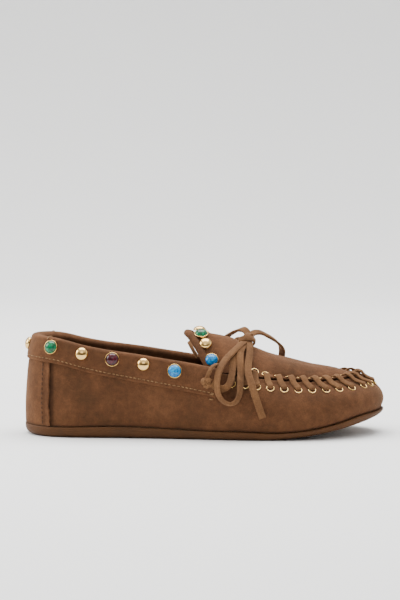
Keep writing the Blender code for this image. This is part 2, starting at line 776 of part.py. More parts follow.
for old in list(bpy.data.objects):
    bpy.data.objects.remove(old)
moccasin = bpy.data.collections.new("moccasin")
bpy.context.scene.collection.children.link(moccasin)

build_sole()
build_wall()
build_heel_panel()
build_collar()
build_apron()
build_lacing()
build_collar_studs()
build_tongue_studs()
build_thong()
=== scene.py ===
import math

import bmesh
import bpy
import numpy as np
from mathutils import Matrix, Vector, noise
from mathutils.bvhtree import BVHTree


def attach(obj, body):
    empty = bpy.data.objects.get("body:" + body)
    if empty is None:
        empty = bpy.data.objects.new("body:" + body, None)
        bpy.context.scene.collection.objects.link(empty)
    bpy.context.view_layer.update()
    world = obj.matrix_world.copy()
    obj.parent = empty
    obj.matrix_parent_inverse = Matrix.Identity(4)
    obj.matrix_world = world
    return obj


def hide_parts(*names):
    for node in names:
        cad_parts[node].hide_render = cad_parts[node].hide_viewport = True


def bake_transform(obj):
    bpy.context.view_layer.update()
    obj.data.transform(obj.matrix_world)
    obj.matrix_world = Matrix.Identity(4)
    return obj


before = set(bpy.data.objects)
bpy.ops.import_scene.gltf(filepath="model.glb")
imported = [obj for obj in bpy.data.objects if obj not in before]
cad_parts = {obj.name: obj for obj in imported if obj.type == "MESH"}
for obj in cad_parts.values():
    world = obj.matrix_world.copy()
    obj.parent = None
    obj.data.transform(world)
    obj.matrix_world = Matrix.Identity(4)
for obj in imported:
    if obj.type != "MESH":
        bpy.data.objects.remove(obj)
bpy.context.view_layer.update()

# --------------------------------------------------------------------------------------------- studio
# A pale paper sweep that runs from the floor up into the background, a large softbox overhead, one at
# each side, and a long lens a little above the shoe. The side of the room behind the camera is dim.

bpy.ops.object.select_all(action="DESELECT")
MM = 0.001

bpy.ops.object.camera_add()
camera = bpy.context.object
camera.name = "camera"
camera.data.lens = 138.3
camera.data.sensor_width = 36
camera.data.clip_start = 0.1
camera.data.clip_end = 30
CAMERA_RISE = math.radians(5)
CAMERA_AIM = Vector((-3.2 * MM, 0, 92.4 * MM))
camera.location = CAMERA_AIM + 1.6 * Vector((0, -math.cos(CAMERA_RISE), math.sin(CAMERA_RISE)))
camera.rotation_euler = (math.pi / 2 - CAMERA_RISE, 0, 0)
bpy.context.scene.camera = camera


def linear(code):
    """A #rrggbb colour as linear light, for a shader's socket."""
    parts = [int(code[i : i + 2], 16) / 255 for i in (1, 3, 5)]
    return (*[p / 12.92 if p <= 0.04045 else ((p + 0.055) / 1.055) ** 2.4 for p in parts], 1.0)


def add(tree, kind, inputs, **settings):
    """One shader node, its settings, and its inputs: values, or (node, output) pairs to link."""
    made = tree.nodes.new("ShaderNode" + kind)
    for name, value in settings.items():
        setattr(made, name, value)
    for name, value in inputs.items():
        if isinstance(value, tuple) and isinstance(value[0], bpy.types.Node):
            tree.links.new(value[0].outputs[value[1]], made.inputs[name])
        else:
            made.inputs[name].default_value = value
    return made


def blank(name):
    """A new material with a Principled shader: its tree, its shader and itself."""
    made = bpy.data.materials.new(name)
    made.use_nodes = True
    return made, made.node_tree, made.node_tree.nodes["Principled BSDF"]


# Matt background paper: almost no sheen, a barely visible fibre
paper, tree, shader = blank("background_paper")
where = add(tree, "TexCoord", {})
fibre = add(tree, "TexNoise", {"Vector": (where, "Object"), "Scale": 6.0, "Detail": 2.0})
tone = add(tree, "ValToRGB", {"Fac": (fibre, "Fac")})
tone.color_ramp.elements[0].color = linear("#f2f2f1")
tone.color_ramp.elements[1].color = linear("#f5f5f4")
tree.links.new(tone.outputs["Color"], shader.inputs["Base Color"])
shader.inputs["Roughness"].default_value = 0.95
shader.inputs["Specular IOR Level"].default_value = 0.1

bpy.ops.mesh.primitive_grid_add(x_subdivisions=2, y_subdivisions=48, size=1)
sweep = bpy.context.object
sweep.name = "paper_sweep"
for vertex in sweep.data.vertices:
    s = (vertex.co.y + 0.5) * 3
    if s < 1:
        y, z = -2.5 + 3.6 * s, 0.0
    elif s < 2:
        turn = (s - 1) * math.pi / 2
        y, z = 1.1 + 1.2 * math.sin(turn), 1.2 * (1 - math.cos(turn))
    else:
        y, z = 2.3, 1.2 + 2.8 * (s - 2)
    vertex.co = (vertex.co.x * 8, y, z)
bpy.ops.object.shade_smooth()
sweep.data.materials.append(paper)

world = bpy.data.worlds.new("studio")
bpy.context.scene.world = world
world.use_nodes = True
tree = world.node_tree
back = tree.nodes["Background"]
where = add(tree, "TexCoord", {})
split = add(tree, "SeparateXYZ", {"Vector": (where, "Generated")})
depth = add(tree, "MapRange", {"Value": (split, "Y"), "From Min": -0.8, "From Max": 0.4, "To Min": 0.02, "To Max": 0.92})
height = add(tree, "MapRange", {"Value": (split, "Z"), "From Min": 0.3, "From Max": 0.95, "To Min": 0.0, "To Max": 1.0})
room = add(tree, "Math", {0: (depth, "Result"), 1: (height, "Result")}, operation="MAXIMUM")
light = add(tree, "ValToRGB", {"Fac": (room, "Value")})
light.color_ramp.elements[0].color = (0.07, 0.068, 0.065, 1)
light.color_ramp.elements[1].color = (1.0, 0.995, 0.985, 1)
tree.links.new(light.outputs["Color"], back.inputs["Color"])
back.inputs["Strength"].default_value = 1.75

for name, place, turn, size, power in (
    ("softbox_top", (-0.05, 0.35, 1.5), (-13, 0, 0), (1.6, 1.2), 48.0),
    ("softbox_left", (-1.5, 0.05, 0.8), (0, -62, 0), (0.9, 0.9), 20.0),
    ("softbox_right", (1.6, 0.3, 0.7), (0, 66, 0), (0.8, 0.8), 1.2),
    ("fill_front", (-0.2, -1.9, 1.3), (56, 0, 0), (1.2, 0.8), 5.0),
):
    bpy.ops.object.light_add(type="AREA", location=place, rotation=[math.radians(a) for a in turn])
    lamp = bpy.context.object
    lamp.name = name
    lamp.data.shape = "RECTANGLE"
    lamp.data.size, lamp.data.size_y = size
    lamp.data.energy = power

# ---------------------------------------------------------------------------------------------- sole
# A one-piece moulded rubber cup sole with a rounded side and a ribbed underside, cemented to the
# upper. It springs up under the toe, and a thin dark line shows where the suede meets it: partly a small
# gap, partly painted shade on the wall just over the sole.


def curve(*rows):
    """A smooth curve through rows of (parameter, value, ...), cubic between each two rows."""
    table = np.array(rows, float)
    at, values = table[:, 0], table[:, 1:]
    slopes = np.gradient(values, at, axis=0)

    def read(s):
        i = min(max(int(np.searchsorted(at, s)) - 1, 0), len(at) - 2)
        span = at[i + 1] - at[i]
        u = min(max((s - at[i]) / span, 0.0), 1.0)
        start = (1 + 2 * u) * (1 - u) ** 2 * values[i] + u * (1 - u) ** 2 * span * slopes[i]
        end = u * u * (3 - 2 * u) * values[i + 1] + u * u * (u - 1) * span * slopes[i + 1]
        return start + end

    return read


def ease(x, start, end):
    """0 before start, 1 after end, and smooth between."""
    u = min(max((x - start) / (end - start), 0.0), 1.0)
    return u * u * (3 - 2 * u)


def unit(v):
    return v / np.linalg.norm(v, axis=-1, keepdims=True)


LENGTH = 250 * MM
BALL_WIDTH = 90 * MM
HEEL_WIDTH = 61 * MM
TOE_SWING = 4 * MM
FOOT_HALF = LENGTH / 2 - 2.2 * MM
HEEL_ROUND, TOE_ROUND = 7.0, 3.4
half_widths = curve(
    (-0.50, HEEL_WIDTH / 2, HEEL_WIDTH / 2),
    (-0.24, HEEL_WIDTH / 2, HEEL_WIDTH / 2),
    (-0.08, 35 * MM, 31 * MM),
    (0.10, 0.93 * BALL_WIDTH / 2, 0.87 * BALL_WIDTH / 2),
    (0.24, BALL_WIDTH / 2, BALL_WIDTH / 2),
    (0.50, BALL_WIDTH / 2, BALL_WIDTH / 2),
)
edge_height = curve(
    (-0.5, 8), (-0.42, 7.2), (-0.24, 8), (0.0, 6), (0.12, 5.6), (0.21, 4.6), (0.32, 4.4), (0.38, 5.1), (0.42, 5.8),
    (0.5, 3.5),
)  # fmt: skip


def outline(w):
    """The plan outline at the foot of the wall, w from the heel (-1) by the lateral side to the toe (0) and back."""
    c, side = math.cos(math.pi * w), math.sin(math.pi * w)
    x = FOOT_HALF * c
    lateral, medial = half_widths(x / LENGTH)
    power = TOE_ROUND if c > 0 else HEEL_ROUND
    y = math.copysign(lateral if side < 0 else medial, side) * math.sqrt(max(0.0, 1 - abs(c) ** power))
    return np.array((x, y + TOE_SWING * max(0.0, 2 * x / LENGTH) ** 2, 0.0))


def outward(w):
    """The level direction straight out of the outline."""
    dx, dy, _ = outline(w + 0.002) - outline(w - 0.002)
    return unit(np.array((dy, -dx, 0.0)))


def sole_bottom(x):
    return 14 * MM * max(0.0, (x - 40 * MM) / (LENGTH / 2 - 40 * MM)) ** 1.7


def sole_edge(x):
    return sole_bottom(x) + edge_height(x / LENGTH)[0] * MM


def draped(name, rows, closed=False):
    """A grid laid over rows of points, whose faces look out to the right of the way it goes. Closed joins its ends."""
    rows = np.array(rows, float)
    up, along = rows.shape[:2]
    bpy.ops.object.select_all(action="DESELECT")
    bpy.ops.mesh.primitive_grid_add(x_subdivisions=along - 1, y_subdivisions=up - 1, size=1)
    piece = bpy.context.object
    piece.name = piece.data.name = name
    piece.data.vertices.foreach_set("co", rows.reshape(-1))
    piece.data.update()
    if closed:
        bpy.ops.object.mode_set(mode="EDIT")
        bpy.ops.mesh.select_all(action="SELECT")
        bpy.ops.mesh.remove_doubles(threshold=0.00002)
        bpy.ops.mesh.normals_make_consistent(inside=False)
        bpy.ops.object.mode_set(mode="OBJECT")
    return piece


def modified(piece, kind, **settings):
    """Give the piece a modifier and apply it at once."""
    bpy.context.view_layer.objects.active = piece
    made = piece.modifiers.new(kind.lower(), kind)
    for name, value in settings.items():
        setattr(made, name, value)
    bpy.ops.object.modifier_apply(modifier=made.name)


def dressed(piece, material, body="shoe", stands_for=(), corner=50):
    """The finished piece gets its material, its shading, its body and the parts that it stands for."""
    bpy.ops.object.select_all(action="DESELECT")
    piece.select_set(True)
    bpy.context.view_layer.objects.active = piece
    piece.data.materials.clear()
    piece.data.materials.append(material)
    bpy.ops.object.shade_smooth_by_angle(angle=math.radians(corner))
    if body:
        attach(piece, body)
    if stands_for:
        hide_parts(*stands_for)
    return piece


SOLE_STATIONS = [k / 112 - 1 for k in range(225)]


def ring(out, height, share=1.0):
    """A closed ring that far outside the foot of the wall, drawn in to a share of its width."""
    points = []
    for w in SOLE_STATIONS:
        point, across = outline(w) + outward(w) * out, outline(-w) + outward(-w) * out
        point[1] = point[1] * (1 + share) / 2 + across[1] * (1 - share) / 2
        point[2] = height(point[0])
        points.append(point)
    return points


def between(share):
    """A height that share of the way from the underside to the sole's edge."""
    return lambda x: sole_bottom(x) + share * (sole_edge(x) - sole_bottom(x))


PROUD = 2.0 * MM
side_profile = [
    (-7.0, 0.0), (-5.0, 0.012), (-3.4, 0.06), (-2.1, 0.15), (-1.2, 0.27), (-0.6, 0.40), (-0.25, 0.54), (-0.05, 0.68),
    (0.0, 0.80), (-0.05, 0.90), (-0.25, 0.965), (-0.6, 1.0), (-1.2, 1.0), (-1.9, 1.0), (-2.2, 0.96),
]  # fmt: skip
rows = [ring(PROUD - 7 * MM, sole_bottom, share) for share in (0.0, 0.3, 0.6, 0.85)]
rows += [ring(PROUD + out * MM, between(high)) for out, high in side_profile]
rows.append(ring(PROUD - 4.2 * MM, lambda x: sole_bottom(x) + 3 * MM))
rows += [ring(PROUD - 4.2 * MM, lambda x: sole_bottom(x) + 3 * MM, share) for share in (0.6, 0.3, 0.0)]
sole = draped("outsole_rubber", rows, closed=True)

# Moulded thermoplastic rubber in mid brown: satin, with a faint orange-peel skin from the mould,
# slightly greyed low down. The underside has fine cross ribs, 2.5 mm apart.
rubber, tree, shader = blank("moulded_rubber")
where = add(tree, "TexCoord", {})
cloud = add(tree, "TexNoise", {"Vector": (where, "Object"), "Scale": 55.0, "Detail": 4.0, "Roughness": 0.6})
speck = add(tree, "TexNoise", {"Vector": (where, "Object"), "Scale": 900.0, "Detail": 2.0})
tone = add(tree, "ValToRGB", {"Fac": (cloud, "Fac")})
tone.color_ramp.elements[0].position, tone.color_ramp.elements[1].position = 0.3, 0.7
tone.color_ramp.elements[0].color = linear("#452a12")
tone.color_ramp.elements[1].color = linear("#523216")
split = add(tree, "SeparateXYZ", {"Vector": (where, "Object")})
low = add(tree, "MapRange", {"Value": (split, "Z"), "From Min": 0.0, "From Max": 0.003, "To Min": 0.35, "To Max": 0.0})
dusty = add(tree, "Mix", {0: (low, "Result"), 6: (tone, "Color"), 7: linear("#372617")}, data_type="RGBA")
tree.links.new(dusty.outputs[2], shader.inputs["Base Color"])
ribs = add(
    tree, "TexWave", {"Vector": (where, "Object"), "Scale": 20.0, "Distortion": 0.0}, bands_direction="X"
)
under = add(tree, "Attribute", {}, attribute_name="underside")
rib_depth = add(tree, "Math", {0: (ribs, "Fac"), 1: (under, "Fac")}, operation="MULTIPLY")
relief = add(tree, "Math", {0: (rib_depth, "Value"), 1: 6.0, 2: (speck, "Fac")}, operation="MULTIPLY_ADD")
skin_bump = add(tree, "Bump", {"Height": (relief, "Value"), "Strength": 0.35, "Distance": 0.0002})
tree.links.new(skin_bump.outputs["Normal"], shader.inputs["Normal"])
shader.inputs["Roughness"].default_value = 0.6
shader.inputs["Specular IOR Level"].default_value = 0.2


def painted(piece, name, value_at):
    """A float at every point of the piece, for its material to read."""
    data = piece.data.attributes.new(name, "FLOAT", "POINT").data
    data.foreach_set("value", [float(value_at(v.co)) for v in piece.data.vertices])


painted(sole, "underside", lambda p: ease(sole_bottom(p.x) + 0.5 * MM - p.z, 0, 0.5 * MM))
dressed(sole, rubber, stands_for=["outsole"], corner=60)

# ------------------------------------------------------------------------------------- bed of the shoe
# On the sole lie a fibre insole board and a foam footbed, which the leather sock covers. The sock is
# cut to the lining all round and its edge is rubbed down.

SUEDE, LINING, BAND, COUNTER, GAP = 1.4 * MM, 1.0 * MM, 1.2 * MM, 0.8 * MM, 0.3 * MM
bed_inset = -(SUEDE + COUNTER + LINING + 4 * GAP + 0.2 * MM)
sock_low = (3.0 + 0.3 + 1.5 + 0.3 + 3.0 + 0.3) * MM
sock_high = sock_low + 1.0 * MM


def sock_ring(inset, height, share=1.0):
    return ring(bed_inset - inset, lambda x: sole_bottom(x) + height, share)


rows = [sock_ring(0.6 * MM, sock_low, share) for share in (0.0, 0.5, 1.0)]
rows += [sock_ring(0.0, sock_low + 0.15 * MM), sock_ring(0.0, sock_high - 0.4 * MM)]
rows += [sock_ring(0.5 * MM, sock_high - 0.05 * MM), sock_ring(1.2 * MM, sock_high)]
rows += [sock_ring(1.2 * MM, sock_high - 0.15 * MM * (1 - share), share) for share in (0.8, 0.55, 0.3, 0.0)]
sock = draped("sock", rows, closed=True)

# Vegetable-tanned lining leather, dark brown: a low sheen, pebbled grain of about 1.2 mm, drawn a
# little coarser than it is, and a slow change of shade from wear.
lining_leather, tree, shader = blank("lining_leather")
where = add(tree, "TexCoord", {})
cloud = add(tree, "TexNoise", {"Vector": (where, "Object"), "Scale": 38.0, "Detail": 4.0, "Roughness": 0.6})
grain = add(tree, "TexVoronoi", {"Vector": (where, "Object"), "Scale": 720.0}, feature="SMOOTH_F1")
tone = add(tree, "ValToRGB", {"Fac": (cloud, "Fac")})
tone.color_ramp.elements[0].position, tone.color_ramp.elements[1].position = 0.3, 0.72
tone.color_ramp.elements[0].color = linear("#311d11")
tone.color_ramp.elements[1].color = linear("#422818")
tree.links.new(tone.outputs["Color"], shader.inputs["Base Color"])
bump = add(tree, "Bump", {"Height": (grain, "Distance"), "Strength": 0.3, "Distance": 0.0003})
tree.links.new(bump.outputs["Normal"], shader.inputs["Normal"])
worn = add(tree, "MapRange", {"Value": (cloud, "Fac"), "To Min": 0.66, "To Max": 0.48})
tree.links.new(worn.outputs["Result"], shader.inputs["Roughness"])
dressed(sock, lining_leather, stands_for=["sock_lining"])

# Pressed cellulose board: pale, dull, with short fibres
board, tree, shader = blank("fibre_board")
where = add(tree, "TexCoord", {})
fibres = add(tree, "TexNoise", {"Vector": (where, "Object"), "Scale": 420.0, "Detail": 3.0, "Distortion": 1.5})
tone = add(tree, "ValToRGB", {"Fac": (fibres, "Fac")})
tone.color_ramp.elements[0].color = linear("#9a8360")
tone.color_ramp.elements[1].color = linear("#b9a380")
tree.links.new(tone.outputs["Color"], shader.inputs["Base Color"])
shader.inputs["Roughness"].default_value = 0.9

# Open-cell polyurethane foam: cream, matt, full of 0.8 mm pores
foam, tree, shader = blank("polyurethane_foam")
where = add(tree, "TexCoord", {})
pores = add(tree, "TexVoronoi", {"Vector": (where, "Object"), "Scale": 1200.0})
tone = add(tree, "ValToRGB", {"Fac": (pores, "Distance")})
tone.color_ramp.elements[0].color = linear("#a8977a")
tone.color_ramp.elements[1].color = linear("#d2c4a4")
tree.links.new(tone.outputs["Color"], shader.inputs["Base Color"])
bump = add(tree, "Bump", {"Height": (pores, "Distance"), "Strength": 0.5, "Distance": 0.0003})
tree.links.new(bump.outputs["Normal"], shader.inputs["Normal"])
shader.inputs["Roughness"].default_value = 0.95

for name, finish in (("insole_board", board), ("footbed_foam", foam)):
    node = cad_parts[name]
    node.data.materials.clear()
    node.data.materials.append(finish)

# ------------------------------------------------------------------------- wall, its lining and counter
# The wall is one strip of split suede that goes from the heel round the toe and back, cut long so that
# it gathers under the apron's edge. A leather lining lies inside it, and a fibre counter stiffens the
# heel between the two.

rim_fall = curve(
    (-0.50, 0.0), (-0.412, 0.075), (-0.31, 0.34), (-0.15, 0.63), (-0.01, 0.90), (0.03, 1.0), (0.08, 1.24)
)
seam_height = curve(
    (0.0, 43.0), (0.08, 41.5), (0.16, 39.2), (0.22, 38.0), (0.27, 37.4), (0.33, 37.1), (0.38, 37.2), (0.5, 38.5)
)
wall_section = curve(
    (-0.50, 0.6, -0.6, 5.8),
    (-0.41, 2.0, 1.5, 4.0),
    (-0.31, 2.5, 2.0, 2.0),
    (-0.15, 3.0, 2.5, 0.5),
    (-0.01, 3.5, 3.0, 3.0),
    (0.08, 4.0, 4.0, 5.5),
    (0.16, 5.0, 5.0, 7.5),
    (0.27, 5.0, 5.0, 8.5),
    (0.38, 4.5, 4.5, 9.5),
    (0.50, 3.5, 2.5, 11.0),
)
COLLAR_FRONT, COLLAR_RUNOUT, FOLD_RISE = 8 * MM, 12 * MM, 2.25 * MM


def rim(x):
    return 70 * MM - (70 - 49.3) * MM * rim_fall(x / LENGTH)[0]


def section_top(x):
    """Height of the top of the section: the fold's spring line at the rear, the seam edge at the front."""
    front = ease(x, COLLAR_FRONT, COLLAR_FRONT + COLLAR_RUNOUT)
    return (1 - front) * (rim(x) - FOLD_RISE - BAND / 2) + front * seam_height(x / LENGTH)[0] * MM


def bezier(v, a, b, c, d):
    return (1 - v) ** 3 * a + 3 * v * (1 - v) ** 2 * b + 3 * v * v * (1 - v) * c + v**3 * d


def wall_points(w, v):
    """Points of the wall's outer face at w, for an array of v from the sole's edge (0) to the section's top (1)."""
    v = np.asarray(v, float)
    foot = outline(w)
    belly, shoulder, lean = wall_section(foot[0] / LENGTH) * MM
    low, high = sole_edge(foot[0]) + GAP, section_top(foot[0])
    out = bezier(v, 0.0, belly, shoulder, -lean)
    z = bezier(v, low, low + 0.30 * (high - low), low + 0.72 * (high - low), high)
    return foot + outward(w) * out[..., None] + np.array((0, 0, 1.0)) * z[..., None]


def skin(w, v, out=0.0, up=0.0):
    """Points of the wall's outer face, moved out along its normal and up along the wall."""
    v = np.asarray(v, float)
    along = wall_points(w + 0.002, v) - wall_points(w - 0.002, v)
    rise = unit(wall_points(w, np.minimum(v + 0.01, 1)) - wall_points(w, np.maximum(v - 0.01, 0)))
    out, up = np.asarray(out, float), np.asarray(up, float)
    return wall_points(w, v) + unit(np.cross(along, rise)) * out[..., None] + rise * up[..., None]


def normal_at(w, v):
    return unit(skin(w, v, 1 * MM) - skin(w, v))


FINE = np.linspace(0, 1, 401)


def level(w, z):
    """The v at which the wall reaches a height."""
    return float(np.interp(z, wall_points(w, FINE)[:, 2], FINE))


def side_of(x, sign):
    """The w of an outline x, on the lateral side (-1) or the medial side (1)."""
    return sign * math.acos(x / FOOT_HALF) / math.pi


def wall_top(w):
    x = outline(w)[0]
    tuck = 5.2 * MM * (1 - ease(x, COLLAR_FRONT - 5 * MM, COLLAR_FRONT))
    return level(w, section_top(x) - tuck) if tuck > 0 else 1.0


# Places along the shoe of the eyelets, in pairs that a stitch joins: one in the wall, one in the apron.
# Between the two foremost pairs the row goes on round the toe.
EYELETS = [
    (18.2, 19.5), (27.5, 26.7), (35.5, 34.2), (44.6, 41.6), (54.1, 49.3), (63.6, 57.3), (73.1, 64.9), (82.9, 72.4),
    (92.0, 79.9), (100.9, 87.5), (109.5, 94.6), (114.6, 98.9),
]  # fmt: skip
TOE_PAIRS = 2


def gather(w):
    """1 at each whip stitch of the front and 0 between them, growing from the middle of the side to the toe."""
    x = outline(w)[0]
    phase = abs(w) / 0.043 if x > 112 * MM else (x / MM - 18.2) / 9.3
    return (0.5 + 0.5 * math.cos(2 * math.pi * phase)) * ease(x, 24 * MM, 70 * MM)


def soft(point, size, seed=0.0):
    """A smooth wobble from -1 to 1 in space, with waves of that size."""
    return noise.noise(Vector(point) / size + Vector((seed, seed * 1.7, -seed)))


WALL_STATIONS = [k / 168 - 1 for k in range(337)]
WALL_STATIONS[0] += 0.0008
WALL_STATIONS[-1] -= 0.0008
tops = [wall_top(w) for w in WALL_STATIONS]
UP = np.linspace(0, 1, 31)
LIP = np.array([(-0.4, 0.7), (-1.0, 1.25), (-2.0, 1.6), (-3.2, 1.6), (-4.4, 1.2)]) * MM


def wall_surface(w, top):
    """A column of the wall with the soft uneven surface that hide has: slow waves, low creases, gathers at the seam."""
    v = top * UP
    base = skin(w, v)
    x = outline(w)[0]
    pull = gather(w)
    out = []
    for share, point in zip(v, base, strict=True):
        wave = 0.42 * soft(point, 23 * MM) + 0.16 * soft(point, 8 * MM, 3.0)
        wave *= ease(share, 0.0, 0.22)
        crease = -0.3 * max(0.0, soft((point[0] + 0.5 * point[2], 0.2 * point[1], point[2] * 2.4), 17 * MM, 9.0))
        crease *= ease(share, 0.02, 0.16) * (1 - ease(share, 0.5, 0.8))
        front = ease(x, 12 * MM, 30 * MM)
        seam = -0.75 * pull * ease(share, 0.62, 0.97) + 0.35 * (1 - pull) * ease(share, 0.7, 0.95) * front
        out.append((wave * (1 - 0.6 * ease(share, 0.7, 1.0) * front) + crease + seam) * MM)
    column = skin(w, v, np.array(out))
    lip = LIP * (0.03 + 0.97 * ease(x, COLLAR_FRONT, 16 * MM))
    return np.concatenate([column, column[-1] + outward(w) * lip[:, :1] + np.array((0, 0, 1.0)) * lip[:, 1:]])


def columns_to_rows(columns):
    return np.swapaxes(np.array(columns), 0, 1)


wall = draped("wall", columns_to_rows([wall_surface(w, t) for w, t in zip(WALL_STATIONS, tops, strict=True)]))
modified(wall, "SOLIDIFY", thickness=SUEDE, offset=-1, use_even_offset=False)
modified(wall, "BEVEL", width=0.35 * MM, segments=2, limit_method="ANGLE", angle_limit=math.radians(60))


def suede(name, dark, middle, light, napped):
    """Cow suede, buffed on the flesh side. The nap lies in patches that take the light each in its own way, with paler
    strokes where it was brushed, and a halo of fibres at a glance. The single fibres are too fine, so the nap is drawn
    about 0.8 mm coarse. The piece's own attribute lifts and lowers the colour point by point: partly the piece's own
    tone, such as paler cut edges, partly painted light, such as painted shade in seams and just over the sole, and a
    painted top light over the crown of the instep."""
    made, tree, shader = blank(name)
    where = add(tree, "TexCoord", {})
    patch = add(tree, "TexNoise", {"Vector": (where, "Object"), "Scale": 42.0, "Detail": 5.0, "Roughness": 0.62})
    mottle = add(tree, "TexNoise", {"Vector": (where, "Object"), "Scale": 240.0, "Detail": 3.0, "Roughness": 0.6})
    nap = add(tree, "TexNoise", {"Vector": (where, "Object"), "Scale": napped, "Detail": 2.0, "Roughness": 0.7})
    lay = add(tree, "Mapping", {"Vector": (where, "Object"), "Scale": (90.0, 140.0, 260.0), "Rotation": (0.0, 0.35, 0.0)})
    stroke = add(tree, "TexNoise", {"Vector": (lay, "Vector"), "Scale": 1.0, "Detail": 3.0, "Roughness": 0.55})
    tone = add(tree, "ValToRGB", {"Fac": (patch, "Fac")})
    ramp = tone.color_ramp
    ramp.elements[0].position, ramp.elements[1].position = 0.30, 0.72
    ramp.elements[0].color, ramp.elements[1].color = linear(dark), linear(light)
    ramp.elements.new(0.5).color = linear(middle)
    brushed = add(tree, "MapRange", {"Value": (stroke, "Fac"), "From Min": 0.56, "From Max": 0.74, "To Max": 0.35})
    pale = add(tree, "Mix", {0: (brushed, "Result"), 6: (tone, "Color"), 7: linear(light)}, data_type="RGBA")
    spots = add(tree, "MapRange", {"Value": (mottle, "Fac"), "From Min": 0.3, "From Max": 0.7, "To Min": 0.82, "To Max": 1.16})
    fibres = add(tree, "MapRange", {"Value": (nap, "Fac"), "From Min": 0.25, "From Max": 0.75, "To Min": 0.72, "To Max": 1.26})
    both = add(tree, "Math", {0: (spots, "Result"), 1: (fibres, "Result")}, operation="MULTIPLY")
    # This attribute carries painted shade and painted light besides the pieces' own tone.
    rubbed = add(tree, "Attribute", {}, attribute_name="rubbed")
    lift = add(tree, "MapRange", {"Value": (rubbed, "Fac"), "From Min": -1.0, "To Min": 0.45, "To Max": 1.5}, clamp=True)
    whole = add(tree, "Math", {0: (both, "Value"), 1: (lift, "Result")}, operation="MULTIPLY")
    colour = add(tree, "VectorMath", {0: (pale, 2), "Scale": (whole, "Value")}, operation="SCALE")
    tree.links.new(colour.outputs["Vector"], shader.inputs["Base Color"])
    coarse = add(tree, "Bump", {"Height": (mottle, "Fac"), "Strength": 0.35, "Distance": 0.0007})
    fine = add(tree, "Bump", {"Height": (nap, "Fac"), "Strength": 0.5, "Distance": 0.0004, "Normal": (coarse, "Normal")})
    tree.links.new(fine.outputs["Normal"], shader.inputs["Normal"])
    shader.inputs["Roughness"].default_value = 0.95
    shader.inputs["Specular IOR Level"].default_value = 0.2
    shader.inputs["Sheen Weight"].default_value = 0.25
    shader.inputs["Sheen Roughness"].default_value = 0.45
    shader.inputs["Sheen Tint"].default_value = linear("#c79a70")
    return made


brown_suede = suede("brown_suede", "#482f1c", "#543520", "#624028", 1500.0)


def wall_painted_shade(p):
    """Painted shade just over the sole, in the crevice where the wall meets it, and a painted shadow of the heel
    panel's raw front edge on the wall in front of it and under it.
    """
    # painted shade in the crevice over the sole; below, a painted shadow beside the heel panel's edge
    low = 1 - ease(p.z - sole_edge(p.x), 0.2 * MM, 2.2 * MM)
    panel = ease(-p.x, 102 * MM, 105 * MM)
    return -max(0.85 * low, 1.0 * panel)


# The wall's attribute holds only painted shade.
painted(wall, "rubbed", wall_painted_shade)
dressed(wall, brown_suede, stands_for=["wall_upper"])


def lining_depth(x):
    counter = 1 - ease(x, -66 * MM, -46 * MM)
    return SUEDE + GAP + (COUNTER + GAP) * counter


quarter_lining = draped(
    "quarter_lining",
    columns_to_rows([
        skin(w, t * UP[::2], -lining_depth(outline(w)[0]) - 0.0 * UP[::2])
        for w, t in zip(WALL_STATIONS[::2], tops[::2], strict=True)
    ]),
)
modified(quarter_lining, "SOLIDIFY", thickness=LINING, offset=-1)
dressed(quarter_lining, lining_leather, stands_for=["wall_lining"])

# Thermoplastic fibre sheet, pressed hot to the heel: dull, cloudy, wrapped inside the heel
counter_sheet, tree, shader = blank("fibre_counter")
where = add(tree, "TexCoord", {})
fibres = add(tree, "TexNoise", {"Vector": (where, "Object"), "Scale": 300.0, "Detail": 4.0})
tone = add(tree, "ValToRGB", {"Fac": (fibres, "Fac")})
tone.color_ramp.elements[0].color = linear("#8f7c60")
tone.color_ramp.elements[1].color = linear("#ac9a7c")
tree.links.new(tone.outputs["Color"], shader.inputs["Base Color"])
shader.inputs["Roughness"].default_value = 0.85
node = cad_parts["heel_counter"]
node.data.materials.clear()
node.data.materials.append(counter_sheet)

# ------------------------------------------------------------------------------------------ heel panel
# A panel of the same suede over the back seam, from the sole up under the collar. Its edges are cut
# raw and a little fuzzy, and a row of stitching holds it, 4.5 mm in from each front edge.

HEEL_PANEL = -106 * MM


def band_low(x):
    share = ease(x, -LENGTH / 2, COLLAR_FRONT)
    return rim(x) - (17.3 + 2.7 * share) * MM


def from_to(start, end, count):
    return [start + (end - start) * k / (count - 1) for k in range(count)]


panel_front = side_of(HEEL_PANEL, -1)
columns = []
for w in from_to(-2 - panel_front, panel_front, 81):
    top = level(w, band_low(outline(w)[0]) + 6 * MM)
    v = top * UP
    near = 1 - ease(abs(abs(w + 1) - abs(panel_front + 1)), 0, 0.012)
    base = skin(w, v)
    wave = [
        GAP + BAND + (0.35 * soft(p, 21 * MM, 5.0) + 0.3 * near + 0.3 * near * soft(p, 2.5 * MM, 2.0)) * MM
        for p in base
    ]
    column = skin(w, v, np.array(wave))
    fray = np.array([soft(p, 3.5 * MM, 8.0) for p in base]) * near * 0.8 * MM
    column[:, 0] += fray
    columns.append(column)
heel_panel = draped("heel_panel_suede", columns_to_rows(columns))
modified(heel_panel, "SOLIDIFY", thickness=BAND, offset=-1)
modified(heel_panel, "BEVEL", width=0.3 * MM, segments=2, limit_method="ANGLE", angle_limit=math.radians(60))


def panel_tone_and_painted_shade(p):
    # Painted shade just over the sole and in the groove of the stitch line 4.5 mm behind the front edge; the raw front
    # edge paler, and the whole panel a touch paler.
    low = 1 - ease(p.z - sole_edge(p.x), 0.2 * MM, 2.0 * MM)
    edge = ease(p.x, HEEL_PANEL - 1.2 * MM, HEEL_PANEL)
    seam = 1 - ease(abs(p.x - HEEL_PANEL + 4.5 * MM), 0.2 * MM, 1.3 * MM)
    return 0.35 * edge + 0.06 - 0.5 * seam - 0.8 * low


painted(heel_panel, "rubbed", panel_tone_and_painted_shade)
dressed(heel_panel, brown_suede, stands_for=["heel_panel"])


